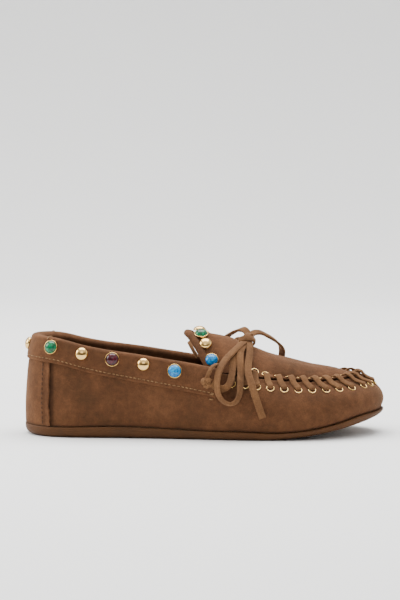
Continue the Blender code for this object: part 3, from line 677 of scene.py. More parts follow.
def waxed(name, dark, light):
    """Waxed polyester thread, about 0.6 mm thick: a soft gloss and a twist that shows as fine slanting lines."""
    made, tree, shader = blank(name)
    where = add(tree, "TexCoord", {})
    twist = add(tree, "TexWave", {"Vector": (where, "Object"), "Scale": 380.0, "Distortion": 2.0}, bands_direction="DIAGONAL")
    tone = add(tree, "ValToRGB", {"Fac": (twist, "Fac")})
    tone.color_ramp.elements[0].color = linear(dark)
    tone.color_ramp.elements[1].color = linear(light)
    tree.links.new(tone.outputs["Color"], shader.inputs["Base Color"])
    shader.inputs["Roughness"].default_value = 0.6
    shader.inputs["Specular IOR Level"].default_value = 0.2
    return made


beige_thread = waxed("beige_waxed_thread", "#5c4129", "#93714c")
brown_thread = waxed("brown_waxed_thread", "#2a190d", "#46301d")


def stitched(name, places, length, thread, body="shoe", thick=0.32):
    """A row of thread stitches. One is a short rod with sunk ends, copied to each place: a point, the way the seam
    runs there, and the way out of the surface."""
    bpy.ops.object.select_all(action="DESELECT")
    bpy.ops.mesh.primitive_cylinder_add(vertices=8, radius=thick * MM, depth=length, end_fill_type="TRIFAN")
    one = bpy.context.object
    bpy.ops.object.mode_set(mode="EDIT")
    bpy.ops.mesh.select_all(action="SELECT")
    bpy.ops.transform.rotate(value=math.pi / 2, orient_axis="Y", center_override=(0, 0, 0))
    bpy.ops.mesh.bisect(plane_co=(-length * 0.25, 0, 0), plane_no=(1, 0, 0))
    bpy.ops.mesh.select_all(action="SELECT")
    bpy.ops.mesh.bisect(plane_co=(length * 0.25, 0, 0), plane_no=(1, 0, 0))
    bpy.ops.object.mode_set(mode="OBJECT")
    for vertex in one.data.vertices:
        share = abs(vertex.co.x) / (length / 2)
        vertex.co.z -= 0.38 * MM * max(0.0, share - 0.45) / 0.55
        vertex.co.z += 0.12 * MM
    seam = bmesh.new()
    for point, along, out in places:
        along, out = Vector(along), Vector(out)
        across = out.cross(along).normalized()
        along = across.cross(out).normalized()
        turn = Matrix((along, across, out.normalized())).transposed().to_4x4()
        copy = one.data.copy()
        copy.transform(Matrix.Translation(Vector(point)) @ turn)
        seam.from_mesh(copy)
        bpy.data.meshes.remove(copy)
    bpy.data.objects.remove(one)
    mesh = bpy.data.meshes.new(name)
    seam.to_mesh(mesh)
    seam.free()
    row = bpy.data.objects.new(name, mesh)
    bpy.context.scene.collection.objects.link(row)
    return dressed(row, thread, body=body, corner=60)


def run_of(point_at, start, end, pitch):
    """Places a pitch apart along a line on the shoe, each with the way the line runs there."""
    fine = [point_at(s) for s in np.linspace(start, end, 1200)]
    steps = np.concatenate([[0], np.cumsum(np.linalg.norm(np.diff(fine, axis=0), axis=1))])
    count = int(steps[-1] / pitch)
    at = np.interp((np.arange(count) + 0.5) * steps[-1] / count, steps, np.linspace(start, end, 1200))
    return [(s, unit(point_at(s + 1e-4) - point_at(s - 1e-4))) for s in at]


panel_stitches = []
for sign in (-1, 1):
    w = side_of(HEEL_PANEL - 4.5 * MM, sign)
    top = level(w, band_low(outline(w)[0]) - 0.5 * MM)

    def up_panel(v, w=w):
        return skin(w, v, GAP + BAND)

    for v, along in run_of(up_panel, 0.02, top, 3.1 * MM):
        out = normal_at(w, v)
        panel_stitches.append((skin(w, v, GAP + BAND + (0.35 * soft(skin(w, v), 21 * MM, 5.0)) * MM), along, out))
stitched("heel_panel_stitching", panel_stitches, 2.3 * MM, brown_thread)

# ---------------------------------------------------------------------------------------- collar band
# A band folded over the top edge of the wall, with the drawstring inside the fold. It is sewn 2.5 mm
# above its lower edge, ends raw at the front, and a bar of thread crosses the fold near the heel.


def band_out(x):
    panel = 1 - ease(x, HEEL_PANEL + 1 * MM, HEEL_PANEL + 23 * MM)
    return GAP + (BAND + GAP) * panel


def inner_leaf_in(x):
    return lining_depth(x) + LINING + 2 * GAP


band_front = side_of(COLLAR_FRONT, -1)
BAND_STATIONS = from_to(-2 - band_front, band_front, 321)
columns = []
for w in BAND_STATIONS:
    x = outline(w)[0]
    low, inner_low = level(w, band_low(x)), level(w, section_top(x) - 9 * MM)
    outer, inner = band_out(x) + BAND, -inner_leaf_in(x) - BAND
    v = low + (1 - low) * np.linspace(0, 1, 17)
    base = skin(w, v)
    share = np.linspace(0, 1, 17)
    sewn = -0.32 * np.exp(-(((share * 18.5 - 2.5) / 0.9) ** 2))
    puff = 0.25 * np.sin(math.pi * np.clip(share * 1.1, 0, 1))
    wave = np.array([0.3 * soft(p, 17 * MM, 6.0) + 0.1 * soft(p, 6 * MM, 1.0) for p in base])
    column = list(skin(w, v, outer + (sewn + puff + wave * (1 - 0.5 * share)) * MM))
    middle, radius = (outer + inner) / 2, (outer - inner) / 2
    for turn in np.linspace(0, math.pi, 11)[1:-1]:
        column.append(skin(w, 1.0, middle + radius * math.cos(turn), (FOLD_RISE + BAND / 2) * math.sin(turn)))
    column += list(skin(w, 1 + (inner_low - 1) * np.linspace(0, 1, 9), inner))
    columns.append(column)
collar = draped("collar_band_suede", columns_to_rows(columns))
modified(collar, "SOLIDIFY", thickness=BAND, offset=-1)
modified(collar, "BEVEL", width=0.35 * MM, segments=2, limit_method="ANGLE", angle_limit=math.radians(60))


def collar_tone_and_painted_shade(p):
    """Paler on the fold, where fingers pull the shoe on, with painted shade along the seam, and a little paler on the
    band's lower cut edge.
    """
    fold = ease(p.z - rim(p.x), -2.2 * MM, -0.3 * MM)
    # painted shade in the groove of the seam
    low = 1 - ease(abs(p.z - band_low(p.x) - 2.5 * MM), 0.2 * MM, 1.2 * MM)
    edge = 1 - ease(p.z - band_low(p.x), 0.1 * MM, 0.7 * MM)
    return 0.16 * fold - 0.3 * low + 0.12 * edge


painted(collar, "rubbed", collar_tone_and_painted_shade)
dressed(collar, brown_suede, stands_for=["collar_band"])


def seam_line(w):
    x = outline(w)[0]
    return skin(w, level(w, band_low(x) + 2.5 * MM), band_out(x) + BAND - 0.1 * MM)


collar_stitches = [
    (seam_line(w), along, normal_at(w, level(w, band_low(outline(w)[0]) + 2.5 * MM)))
    for w, along in run_of(seam_line, BAND_STATIONS[0] + 0.002, BAND_STATIONS[-1] - 0.002, 3.0 * MM)
]
stitched("collar_stitching", collar_stitches, 2.2 * MM, beige_thread)

bar_tacks = []
for sign in (-1, 1):
    w = side_of(-108.2 * MM, sign)
    x = outline(w)[0]
    outer, inner = band_out(x) + BAND, -inner_leaf_in(x) - BAND
    middle, radius = (outer + inner) / 2, (outer - inner) / 2
    for turn in (20, 52, 84):
        a = math.radians(turn)
        here = skin(w, 1.0, middle + radius * math.cos(a), (FOLD_RISE + BAND / 2) * math.sin(a))
        there = skin(w, 1.0, middle + radius * math.cos(a + 0.1), (FOLD_RISE + BAND / 2) * math.sin(a + 0.1))
        along = unit(there - here)
        way = unit(outline(w + 0.002) - outline(w - 0.002))
        bar_tacks.append((here, along, np.cross(way, along)))
    for x_tack, drop in ((5.2 * MM, 1.6 * MM), (4.6 * MM, -1.8 * MM)):
        w = side_of(x_tack, sign)
        v = level(w, band_low(x_tack) + drop)
        bar_tacks.append((skin(w, v, (GAP + BAND) if drop > 0 else 0.1 * MM), (1, 0, 0), normal_at(w, v)))
stitched("collar_tacks", bar_tacks, 2.6 * MM, beige_thread, thick=0.45)

# -------------------------------------------------------------------------------- apron and tongue
# One sheet of suede lies over the toes and carries on over the instep as the tongue. Its cut edge
# stands over the wall's edge, and it is lined. The tongue's rear edge has a narrow sewn facing.

HINGE, HINGE_GAP = 16.5 * MM, 1.2 * MM
SEAM_INSET, SEAM_RISE, INSTEP_RISE = 3.5 * MM, 3.0 * MM, 25 * MM
TONGUE_BACK, TONGUE_CORNER, TONGUE_CLEAR = -13 * MM, 3 * MM, 5.2 * MM
arch = curve(
    (-0.06, 1.0), (0.012, 0.99), (0.066, 0.87), (0.144, 0.66), (0.18, 0.55), (0.224, 0.46), (0.268, 0.355),
    (0.324, 0.25), (0.36, 0.185), (0.396, 0.11), (0.43, 0.03),
)  # fmt: skip


def apron_edge(w):
    return skin(w, 1.0) - outward(w) * SEAM_INSET + np.array((0.0, 0.0, SEAM_RISE))


def arched(lateral, medial, q, x):
    """A point across an arch between two edge points, q from -1 (lateral) to 1 (medial)."""
    point = lateral * (1 - q) / 2 + medial * (1 + q) / 2
    point[0] = x
    point[2] += INSTEP_RISE * arch(x / LENGTH)[0] * (1 - abs(q) ** 2.2)
    return point


def apron_point(w, q):
    lateral, medial = apron_edge(-abs(w)), apron_edge(abs(w))
    return arched(lateral, medial, q, (lateral[0] + medial[0]) / 2)


hinge_w = side_of(HINGE, 1)
hinge_row = [apron_edge(-hinge_w), apron_edge(hinge_w)]


def tongue_point(g, q):
    """A point of the tongue: g from the flex line (0) to the rear edge (1), q across."""
    ends = []
    inward = 1 - (1 - g) ** 2
    for sign, start in ((-1, hinge_row[0]), (1, hinge_row[1])):
        w = side_of(TONGUE_CORNER, sign)
        end = skin(w, 1.0, -inner_leaf_in(TONGUE_CORNER) - BAND - TONGUE_CLEAR)
        end[0] = TONGUE_CORNER
        end[2] = start[2]
        ends.append(start * (1 - inward) + end * inward)
    start_x = (hinge_row[0][0] + hinge_row[1][0]) / 2
    rear_x = TONGUE_BACK + (TONGUE_CORNER - TONGUE_BACK) * abs(q) ** 1.6
    return arched(ends[0], ends[1], q, start_x + (rear_x - start_x) * g)


ACROSS = np.sin(np.linspace(-1, 1, 65) * math.pi / 2)
APRON_STATIONS = [*from_to(-hinge_w, -0.11, 62), *from_to(-0.11, -0.0095, 34)[1:]]
BACKWARD = from_to(1.0, 0.0, 21)


def along_normals(grid, out):
    """A grid moved along its own normals, by one distance or one for each point."""
    points = np.array(grid)
    normals = unit(np.cross(np.gradient(points, axis=1), np.gradient(points, axis=0)))
    return points + np.broadcast_to(out, points.shape[:2])[..., None] * normals


def top_grid(stations, back, across):
    """Rows from the lateral to the medial edge, each from the tongue's rear edge to the toe."""
    return [
        [*[tongue_point(g, q) for g in back[:-1]], *[apron_point(w, q) for w in stations]] for q in across
    ]



def seam_relief(p):
    """The apron's edge stands up in a ridge at the seam, and the sheet dips behind it before it rises to the crown."""
    inside = np.linalg.norm(cut_edge - p, axis=1).min() / MM
    growth = ease(p[0], 30 * MM, 58 * MM) * (1.75 - 0.75 * ease(p[0], 84 * MM, 98 * MM))
    return edge_relief(inside)[0] * growth * MM


grid = np.array(top_grid(APRON_STATIONS, BACKWARD, ACROSS))
swell = np.zeros(grid.shape[:2])
cut_edge = np.array([apron_edge(w) for w in np.linspace(-hinge_w, hinge_w, 600)])
edge_relief = curve((0, 0.45), (1.2, 0.3), (4.0, -1.5), (8, -0.9), (14, 0), (30, 0), (60, 0))
for i, q in enumerate(ACROSS):
    for j in range(grid.shape[1]):
        p = grid[i, j]
        edge = ease(abs(q), 0.8, 1.0)
        pull = gather(-APRON_STATIONS[max(j - len(BACKWARD) + 1, 0)]) if j >= len(BACKWARD) - 1 else 0.0
        front = ease(p[0], 60 * MM, 104 * MM)
        crease = -0.35 * max(0.0, soft((p[0] * 2.0, p[1] * 0.4, 0), 16 * MM, 4.0)) * ease(p[0], 36 * MM, 60 * MM)
        crease *= 1 - ease(p[0], 80 * MM, 100 * MM)
        swell[i, j] = seam_relief(p) + (
            0.38 * soft(p, 19 * MM, 7.0) + 0.14 * soft(p, 7 * MM, 2.0) + crease
            + edge * (0.3 + 0.35 * front) * (0.5 - pull) * (1 if j >= len(BACKWARD) else 0)
        ) * MM  # fmt: skip
upper_sheet = draped("apron_and_tongue", along_normals(grid, swell))
modified(upper_sheet, "SOLIDIFY", thickness=SUEDE, offset=-1)
modified(upper_sheet, "BEVEL", width=0.4 * MM, segments=2, limit_method="ANGLE", angle_limit=math.radians(60))


def apron_tone_and_painted_top_light(p):
    """Paler the higher the sheet rises over the crown of the instep, a painted top light, and a little paler over the
    toe box.
    """
    # painted top light: paler with height alone
    crown = ease(p.z, 42 * MM, 56 * MM) * 0.3
    toe = 0.1 * ease(p.x, 70 * MM, 104 * MM)
    return crown + toe


painted(upper_sheet, "rubbed", apron_tone_and_painted_top_light)
dressed(upper_sheet, brown_suede, body=None, stands_for=["apron", "tongue"])
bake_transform(upper_sheet)

under_stations = [w for w in APRON_STATIONS if w < -3.4 / 28]
lining_grid = top_grid(under_stations, from_to(0.96, 0.0, 13), ACROSS[::2] * 0.93)
lining_depths = np.array([[min(0.0, seam_relief(np.array(p))) - SUEDE - 2 * GAP for p in row] for row in lining_grid])
top_lining = draped("apron_and_tongue_lining", along_normals(lining_grid, lining_depths))
modified(top_lining, "SOLIDIFY", thickness=LINING, offset=-1)
dressed(top_lining, lining_leather, body=None, stands_for=["apron_lining", "tongue_lining"])
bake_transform(top_lining)

FACING = 4.2 * MM
columns = []
for q in np.sin(np.linspace(-0.985, 0.985, 81) * math.pi / 2):
    edge = tongue_point(1.0, q)
    run = np.linalg.norm(tongue_point(0.9, q) - edge) * 10
    inside = tongue_point(1 - FACING / run, q)
    along = unit(tongue_point(1.0, q + 0.004) - tongue_point(1.0, q - 0.004))
    forward = unit(inside - edge)
    out = unit(np.cross(forward, along))
    forward = unit(np.cross(along, out))
    lip = 0.75 + 0.5 * (1 + soft(edge, 14 * MM, 2.0)) * 0.5
    columns.append([
        inside + out * 1.15 * MM,
        inside * 0.6 + edge * 0.4 + out * (1.25 + lip * 0.5) * MM,
        inside * 0.25 + edge * 0.75 + out * (1.3 + lip * 0.9) * MM,
        edge + out * (1.0 + lip * 0.8) * MM - forward * 0.7 * MM,
        edge + out * 0.2 * MM - forward * 1.6 * MM,
        edge - out * 1.0 * MM - forward * 1.6 * MM,
        edge - out * 2.4 * MM - forward * 0.8 * MM,
        edge * 0.6 + inside * 0.4 - out * 2.7 * MM,
    ])
facing = draped("tongue_facing", np.array(columns)[:, ::-1])
modified(facing, "SOLIDIFY", thickness=0.9 * MM, offset=-1)
modified(facing, "SUBSURF", levels=1, render_levels=1)
painted(facing, "rubbed", lambda p: 0.12)
dressed(facing, brown_suede, body="tongue")


def facing_line(q):
    edge = tongue_point(1.0, q)
    run = np.linalg.norm(tongue_point(0.9, q) - edge) * 10
    return tongue_point(1 - (FACING - 1.1 * MM) / run, q)


def facing_out(q):
    here = facing_line(q)
    along = facing_line(q + 0.004) - facing_line(q - 0.004)
    return unit(np.cross(unit(tongue_point(0.5, q) - here), unit(along)))


facing_stitches = [
    (facing_line(q) + facing_out(q) * 1.25 * MM, along, facing_out(q))
    for q, along in run_of(facing_line, -0.96, 0.96, 3.0 * MM)
]
stitched("tongue_stitching", facing_stitches, 2.2 * MM, brown_thread, body="tongue")

# ------------------------------------------------------------------------------- eyelets and lacing
# Small brass eyelets are set in two rows, one in the wall and one in the apron. A flat suede thong
# is whipped through them over both edges, and shows as one slanting stitch between each pair.

# Brass, gilded and polished: warm, bright, with faint smears from handling
gilt, tree, shader = blank("polished_gilt_brass")
where = add(tree, "TexCoord", {})
smear = add(tree, "TexNoise", {"Vector": (where, "Object"), "Scale": 260.0, "Detail": 3.0})
haze = add(tree, "MapRange", {"Value": (smear, "Fac"), "From Min": 0.3, "From Max": 0.7, "To Min": 0.06, "To Max": 0.14})
tree.links.new(haze.outputs["Result"], shader.inputs["Roughness"])
tone = add(tree, "ValToRGB", {"Fac": (smear, "Fac")})
tone.color_ramp.elements[0].color = linear("#d4a65c")
tone.color_ramp.elements[1].color = linear("#e6c483")
tree.links.new(tone.outputs["Color"], shader.inputs["Base Color"])
shader.inputs["Metallic"].default_value = 1.0

bpy.ops.object.select_all(action="DESELECT")
bpy.ops.mesh.primitive_torus_add(
    major_radius=2.5 * MM, minor_radius=0.42 * MM, major_segments=28, minor_segments=10
)
one_eyelet = bpy.context.object
bpy.ops.object.mode_set(mode="EDIT")
bpy.ops.mesh.select_all(action="SELECT")
bpy.ops.transform.resize(value=(1, 1, 0.8))
bpy.ops.object.mode_set(mode="OBJECT")

# A shallow dished disc that fills each eyelet's hole in nearly black: a painted shadow of the hole.
bpy.ops.object.select_all(action="DESELECT")
bpy.ops.mesh.primitive_cylinder_add(vertices=24, radius=2.35 * MM, depth=0.5 * MM)
one_hole_shade = bpy.context.object
bpy.ops.object.mode_set(mode="EDIT")
bpy.ops.mesh.select_all(action="DESELECT")
shape = bmesh.from_edit_mesh(one_hole_shade.data)
for face in shape.faces:
    face.select_set(face.normal.z > 0.9)
bmesh.update_edit_mesh(one_hole_shade.data)
bpy.ops.mesh.inset(thickness=0.7 * MM)
bpy.ops.transform.translate(value=(0, 0, -0.3 * MM))
bpy.ops.object.mode_set(mode="OBJECT")

# Painted shadow: the cut edge of the suede inside an eyelet, coloured as it looks in its own shadow: nearly black,
# dull, fibrous
painted_hole_shadow, tree, shader = blank("hole_shadow_paint")
where = add(tree, "TexCoord", {})
fibres = add(tree, "TexNoise", {"Vector": (where, "Object"), "Scale": 1800.0, "Detail": 3.0})
tone = add(tree, "ValToRGB", {"Fac": (fibres, "Fac")})
tone.color_ramp.elements[0].color = linear("#0b0604")
tone.color_ramp.elements[1].color = linear("#1d110a")
tree.links.new(tone.outputs["Color"], shader.inputs["Base Color"])
shader.inputs["Roughness"].default_value = 0.95
shader.inputs["Specular IOR Level"].default_value = 0.1


def set_on(name, pattern, point, out, turn=0.0):
    """A copy of a small fitting, with its own mesh, standing on a surface."""
    copy = bpy.data.objects.new(name, pattern.data.copy())
    stand = Vector(out).to_track_quat("Z", "Y").to_matrix().to_4x4()
    copy.data.transform(Matrix.Translation(Vector(point)) @ stand @ Matrix.Rotation(turn, 4, "Z"))
    bpy.context.scene.collection.objects.link(copy)
    return copy


def felt(piece):
    """The piece's surface, to set things down on."""
    return BVHTree.FromPolygons([v.co for v in piece.data.vertices], [p.vertices for p in piece.data.polygons])


wall_felt, apron_felt = felt(wall), felt(upper_sheet)


def landed(surface, start, way):
    """Where a straight path from a point first meets a surface, and the way out of it there."""
    point, out, *_ = surface.ray_cast(Vector(start), Vector(way))
    return np.array(point), np.array(out if out.dot(Vector(way)) < 0 else -out)


def wall_hole(w):
    """Middle of a wall eyelet, 3.3 mm below the wall's edge: its point and the way out."""
    edge = skin(w, 1.0)
    way = unit(outward(w) + np.array((0, 0, 0.25)))
    v = level(w, edge[2] - 3.3 * MM)
    here, _ = landed(wall_felt, skin(w, v) + way * 12 * MM, -way)
    return here, normal_at(w, v)


def apron_hole(w):
    """Middle of an apron eyelet, 2.6 mm inside the apron's edge and 3.6 mm toward the toe."""
    inset = (2.6 + 1.0 * ease(outline(w)[0], 56 * MM, 72 * MM)) * MM
    start = apron_edge(w) - outward(w) * inset
    points = [landed(apron_felt, start + shift + np.array((0, 0, 0.03)), (0, 0, -1))[0]
              for shift in (np.zeros(3), outward(w) * -1.2 * MM, np.cross(outward(w), (0, 0, 1.0)) * 1.5 * MM)]
    out = unit(np.cross(points[1] - points[0], points[2] - points[0]))
    return points[0], out if out[2] > 0 else -out


def found(hole, sign, places):
    """The w of each eyelet whose middle lies at that x, on that side."""
    ways = np.linspace(0.02, hinge_w - 0.004, 60)
    xs = np.array([hole(sign * w)[0][0] for w in ways])
    return [sign * float(w) for w in np.interp(-np.array(places) * MM, -xs, ways)]


whips = []
for sign in (-1, 1):
    side = "lateral" if sign < 0 else "medial"
    feet, tops = zip(*EYELETS, strict=True)
    pairs = list(zip(found(apron_hole, sign, tops), found(wall_hole, sign, feet), strict=True))
    whips += [(f"{side}_{n}", *pair) for n, pair in enumerate(pairs, 1)]

w_top, w_foot = pairs[-1]
for n in range(1, TOE_PAIRS + 1):
    share = 2 * n / (TOE_PAIRS + 1) - 1
    whips.append((f"toe_{n}", w_top * share, w_foot * share))


def section_of(width, thick):
    """The cross-section of a flat thong: a rectangle with soft corners, as offsets across and out."""
    corner = min(0.45 * MM, thick * 0.4)
    points = []
    for cx, cy, start in ((1, -1, -90), (1, 1, 0), (-1, 1, 90), (-1, -1, 180)):
        for a in (start + 10, start + 45, start + 80):
            points.append((
                cx * (width / 2 - corner) + corner * math.cos(math.radians(a)),
                cy * (thick / 2 - corner) + corner * math.sin(math.radians(a)),
            ))
    return points


def strap(name, route, faces, width=4.7 * MM, thick=1.6 * MM, step=1.2 * MM, seed=0.0):
    """A flat thong along a smooth curve through its route, its broad face turned the way the faces say."""
    points = np.array(route, float)
    runs = np.concatenate([[0], np.cumsum(np.linalg.norm(np.diff(points, axis=0), axis=1))])
    path, face = curve(*np.column_stack([runs, points])), curve(*np.column_stack([runs, faces]))
    at = np.linspace(0, runs[-1], max(8, round(runs[-1] / step)))
    line = np.array([path(s) for s in at])
    along = unit(np.gradient(line, axis=0))
    out = np.array([face(s) for s in at])
    out = unit(out - along * (out * along).sum(1)[:, None])
    across = np.cross(along, out)
    section = np.array(section_of(width, thick))
    rows = []
    for a, o in [*section, section[0]]:
        wobble = np.array([1 + 0.05 * soft((s, 0, 0), 6 * MM, seed + 1.3) for s in at])[:, None]
        rows.append(line + across * a * wobble + out * o)
    piece = draped(name, rows, closed=True)
    bpy.ops.object.mode_set(mode="EDIT")
    bpy.ops.mesh.select_all(action="SELECT")
    bpy.ops.mesh.fill_holes(sides=0)
    bpy.ops.mesh.normals_make_consistent(inside=False)
    bpy.ops.object.mode_set(mode="OBJECT")
    return piece, line


laces = []
for label, w_top, w_foot in whips:
    top, top_out = apron_hole(w_top)
    foot, foot_out = wall_hole(w_foot)
    w_edge = w_top * 0.66 + w_foot * 0.34
    edge = apron_edge(w_edge)
    over = skin(w_top * 0.35 + w_foot * 0.65, 1.0)
    level_out = outward(w_edge)
    up = np.array((0, 0, 1.0))
    mid_out = unit(foot_out + level_out + up * 0.6)
    lift = (0.75 + 0.5 * ease(top[0], 34 * MM, 64 * MM)) * MM
    route = [
        top - top_out * 2.4 * MM - level_out * 0.6 * MM,
        top + top_out * 0.35 * MM + level_out * 0.5 * MM,
        top * 0.45 + edge * 0.55 + up * (0.6 * MM + lift),
        edge + level_out * 1.1 * MM + up * (lift - 0.1 * MM),
        edge * 0.35 + over * 0.65 + level_out * 1.9 * MM,
        over * 0.5 + foot * 0.5 + foot_out * 1.25 * MM,
        foot + foot_out * 0.5 * MM + up * 1.1 * MM,
        foot - foot_out * 2.2 * MM + up * 0.4 * MM,
    ]
    faces = [
        -level_out, top_out - level_out * 0.4, up + level_out * 0.3, mid_out, mid_out, foot_out,
        foot_out - up * 0.3, foot_out * 0.3 - up,
    ]  # fmt: skip
    wide = (4.2 - 1.0 * ease(top[0], 84 * MM, 98 * MM)) * MM
    lace, _ = strap(f"lace_{label}", route, faces, width=wide, thick=1.25 * MM, step=0.7 * MM, seed=len(laces))
    laces.append(lace)
    for row, point, out in (("apron", top, top_out), ("wall", foot, foot_out)):
        ring_piece = set_on(f"eyelet_{row}_{label}", one_eyelet, point + out * 0.22 * MM, out)
        dressed(ring_piece, gilt)
        # a nearly black disc in the hole, a painted shadow
        shade_disc = set_on(f"bore_{row}_{label}", one_hole_shade, point - out * 0.05 * MM, out)
        dressed(shade_disc, painted_hole_shadow, corner=30)
for pattern in (one_eyelet, one_hole_shade):
    bpy.data.objects.remove(pattern)

bpy.ops.object.select_all(action="DESELECT")
for lace in laces:
    lace.select_set(True)
bpy.context.view_layer.objects.active = laces[0]
bpy.ops.object.join()
lacing = laces[0]
lacing.name = lacing.data.name = "whip_lacing"

thong_suede = suede("thong_suede", "#553a24", "#66462c", "#795536", 1600.0)
painted(lacing, "rubbed", lambda p: 0.0)
dressed(lacing, thong_suede, stands_for=["toe_lacing"])

# ------------------------------------------------------------------------------------------------ studs
# Domed studs and cabochons in plain cups go round the collar and over the tongue, riveted through
# the suede: gold domes turn and turn about with green, dark red and turquoise stones.

DOME_RADIUS, DOME_HEIGHT = 4.5 * MM, 3.3 * MM
BEZEL_RADIUS, BEZEL_HEIGHT, BEZEL_WALL = 4.9 * MM, 1.5 * MM, 0.6 * MM

bpy.ops.object.select_all(action="DESELECT")
bpy.ops.mesh.primitive_uv_sphere_add(segments=48, ring_count=32, radius=DOME_RADIUS)
one_dome = bpy.context.object
bpy.ops.object.mode_set(mode="EDIT")
bpy.ops.mesh.select_all(action="SELECT")
bpy.ops.mesh.bisect(plane_co=(0, 0, 0.0002 * MM), plane_no=(0, 0, 1), clear_inner=True, use_fill=True)
bpy.ops.mesh.select_all(action="SELECT")
bpy.ops.transform.resize(value=(1, 1, DOME_HEIGHT / DOME_RADIUS * 0.93), center_override=(0, 0, 0))
bpy.ops.object.mode_set(mode="OBJECT")
for vertex in one_dome.data.vertices:
    low = ease(vertex.co.z, 0.0, 0.5 * MM)
    vertex.co.x *= 0.955 + 0.045 * low
    vertex.co.y *= 0.955 + 0.045 * low

bpy.ops.object.select_all(action="DESELECT")
bpy.ops.mesh.primitive_cylinder_add(vertices=48, radius=BEZEL_RADIUS, depth=BEZEL_HEIGHT, location=(0, 0, BEZEL_HEIGHT / 2))
one_cup = bpy.context.object
bpy.ops.object.transform_apply(location=True)
bpy.ops.object.mode_set(mode="EDIT")
bpy.ops.mesh.select_all(action="DESELECT")
shape = bmesh.from_edit_mesh(one_cup.data)
for face in shape.faces:
    face.select_set(face.normal.z > 0.9)
bmesh.update_edit_mesh(one_cup.data)
bpy.ops.mesh.inset(thickness=BEZEL_WALL)
bpy.ops.mesh.extrude_region_move(TRANSFORM_OT_translate={"value": (0, 0, -1.1 * MM)})
bpy.ops.object.mode_set(mode="OBJECT")
modified(one_cup, "BEVEL", width=0.3 * MM, segments=3, limit_method="ANGLE", angle_limit=math.radians(50))

bpy.ops.object.select_all(action="DESELECT")
STONE_RADIUS = BEZEL_RADIUS - BEZEL_WALL - 0.06 * MM
bpy.ops.mesh.primitive_uv_sphere_add(segments=48, ring_count=32, radius=STONE_RADIUS)
one_stone = bpy.context.object
bpy.ops.object.mode_set(mode="EDIT")
bpy.ops.mesh.select_all(action="SELECT")
bpy.ops.mesh.bisect(plane_co=(0, 0, 0.0002 * MM), plane_no=(0, 0, 1), clear_inner=True, use_fill=True)
bpy.ops.mesh.select_all(action="SELECT")
bpy.ops.transform.resize(value=(1, 1, 0.66), center_override=(0, 0, 0))
bpy.ops.transform.translate(value=(0, 0, 1.1 * MM))
bpy.ops.object.mode_set(mode="OBJECT")


def cabochon(name, deep, main, pale, vein, veins):
    """Polished glass or stone, cut as a low dome: glossy, with cloudy depth and, in turquoise, dark matrix veins."""
    made, tree, shader = blank(name)
    where = add(tree, "TexCoord", {})
    cloud = add(tree, "TexNoise", {"Vector": (where, "Object"), "Scale": 480.0, "Detail": 4.0, "Distortion": 0.6})
    tone = add(tree, "ValToRGB", {"Fac": (cloud, "Fac")})
    ramp = tone.color_ramp
    ramp.elements[0].position, ramp.elements[1].position = 0.32, 0.7
    ramp.elements[0].color, ramp.elements[1].color = linear(deep), linear(pale)
    ramp.elements.new(0.5).color = linear(main)
    crack = add(tree, "TexVoronoi", {"Vector": (where, "Object"), "Scale": 330.0}, feature="DISTANCE_TO_EDGE")
    line = add(tree, "MapRange", {"Value": (crack, "Distance"), "From Max": 0.06, "To Min": veins, "To Max": 0.0})
    veined = add(tree, "Mix", {0: (line, "Result"), 6: (tone, "Color"), 7: linear(vein)}, data_type="RGBA")
    tree.links.new(veined.outputs[2], shader.inputs["Base Color"])
    shader.inputs["Roughness"].default_value = 0.12
    shader.inputs["IOR"].default_value = 1.58
    shader.inputs["Specular IOR Level"].default_value = 0.3
    return made


STONES = {
    "green": cabochon("green_glass", "#01301a", "#035634", "#0a8654", "#01200f", 0.3),
    "purple": cabochon("garnet_glass", "#1c040b", "#3a0c17", "#5a1826", "#0a0203", 0.3),
    "turquoise": cabochon("turquoise", "#024b8c", "#047abc", "#12a0d6", "#042c48", 0.6),
}


def stud(kind, name, point, out, body):
    """A gold dome, or a stone in its cup, on the surface."""
    if kind == "gold":
        dome = set_on(name + "_gold", one_dome, point, out)
        dressed(dome, gilt, body=body, stands_for=[name + "_dome"], corner=40)
        return
    cup = set_on(name + "_cup", one_cup, point, out)
    dressed(cup, gilt, body=body, stands_for=[name + "_bezel"], corner=40)
    gem = set_on(name + "_cabochon", one_stone, point, out)
    dressed(gem, STONES[kind], body=body, stands_for=[name + "_" + kind], corner=40)


stud_drop = curve((-0.5, 8.0), (-0.42, 7.4), (-0.33, 6.8), (-0.17, 6.6), (-0.08, 7.8))


def collar_seat(w, proud=BAND + 0.2 * MM):
    x = outline(w)[0]
    v = level(w, rim(x) - stud_drop(x / LENGTH)[0] * MM)
    return skin(w, v, band_out(x) + proud), normal_at(w, v)


def cad_seat(w):
    """Where the stud's place is measured along the band: the seat that the frame uses."""
    return collar_seat(w, BAND + 1.5 * GAP)[0]


stud("gold", "heel_stud", *collar_seat(-0.986), "shoe")
for sign, side in ((-1, "lateral"), (1, "medial")):
    w, last, run = sign, cad_seat(-1.0), 0.0
    for number, kind in enumerate(("green", "gold", "purple", "gold", "turquoise"), 1):
        while run < (32.0 + (number - 1) * 21.7) * MM:
            w -= sign * 0.001
            here = cad_seat(w)
            run += np.linalg.norm(here - last)
            last = here
        stud(kind, f"{side}_stud_{number}", *collar_seat(w), "shoe")


def tongue_seat(q, lift=0.9 * MM):
    here = tongue_point(0.7, q)
    along, across = tongue_point(0.68, q) - tongue_point(0.72, q), tongue_point(0.7, q + 0.02) - tongue_point(0.7, q - 0.02)
    out = unit(np.cross(along, across))
    return here + out * lift, out


def stud_radius(kind):
    return DOME_RADIUS if kind == "gold" else BEZEL_RADIUS


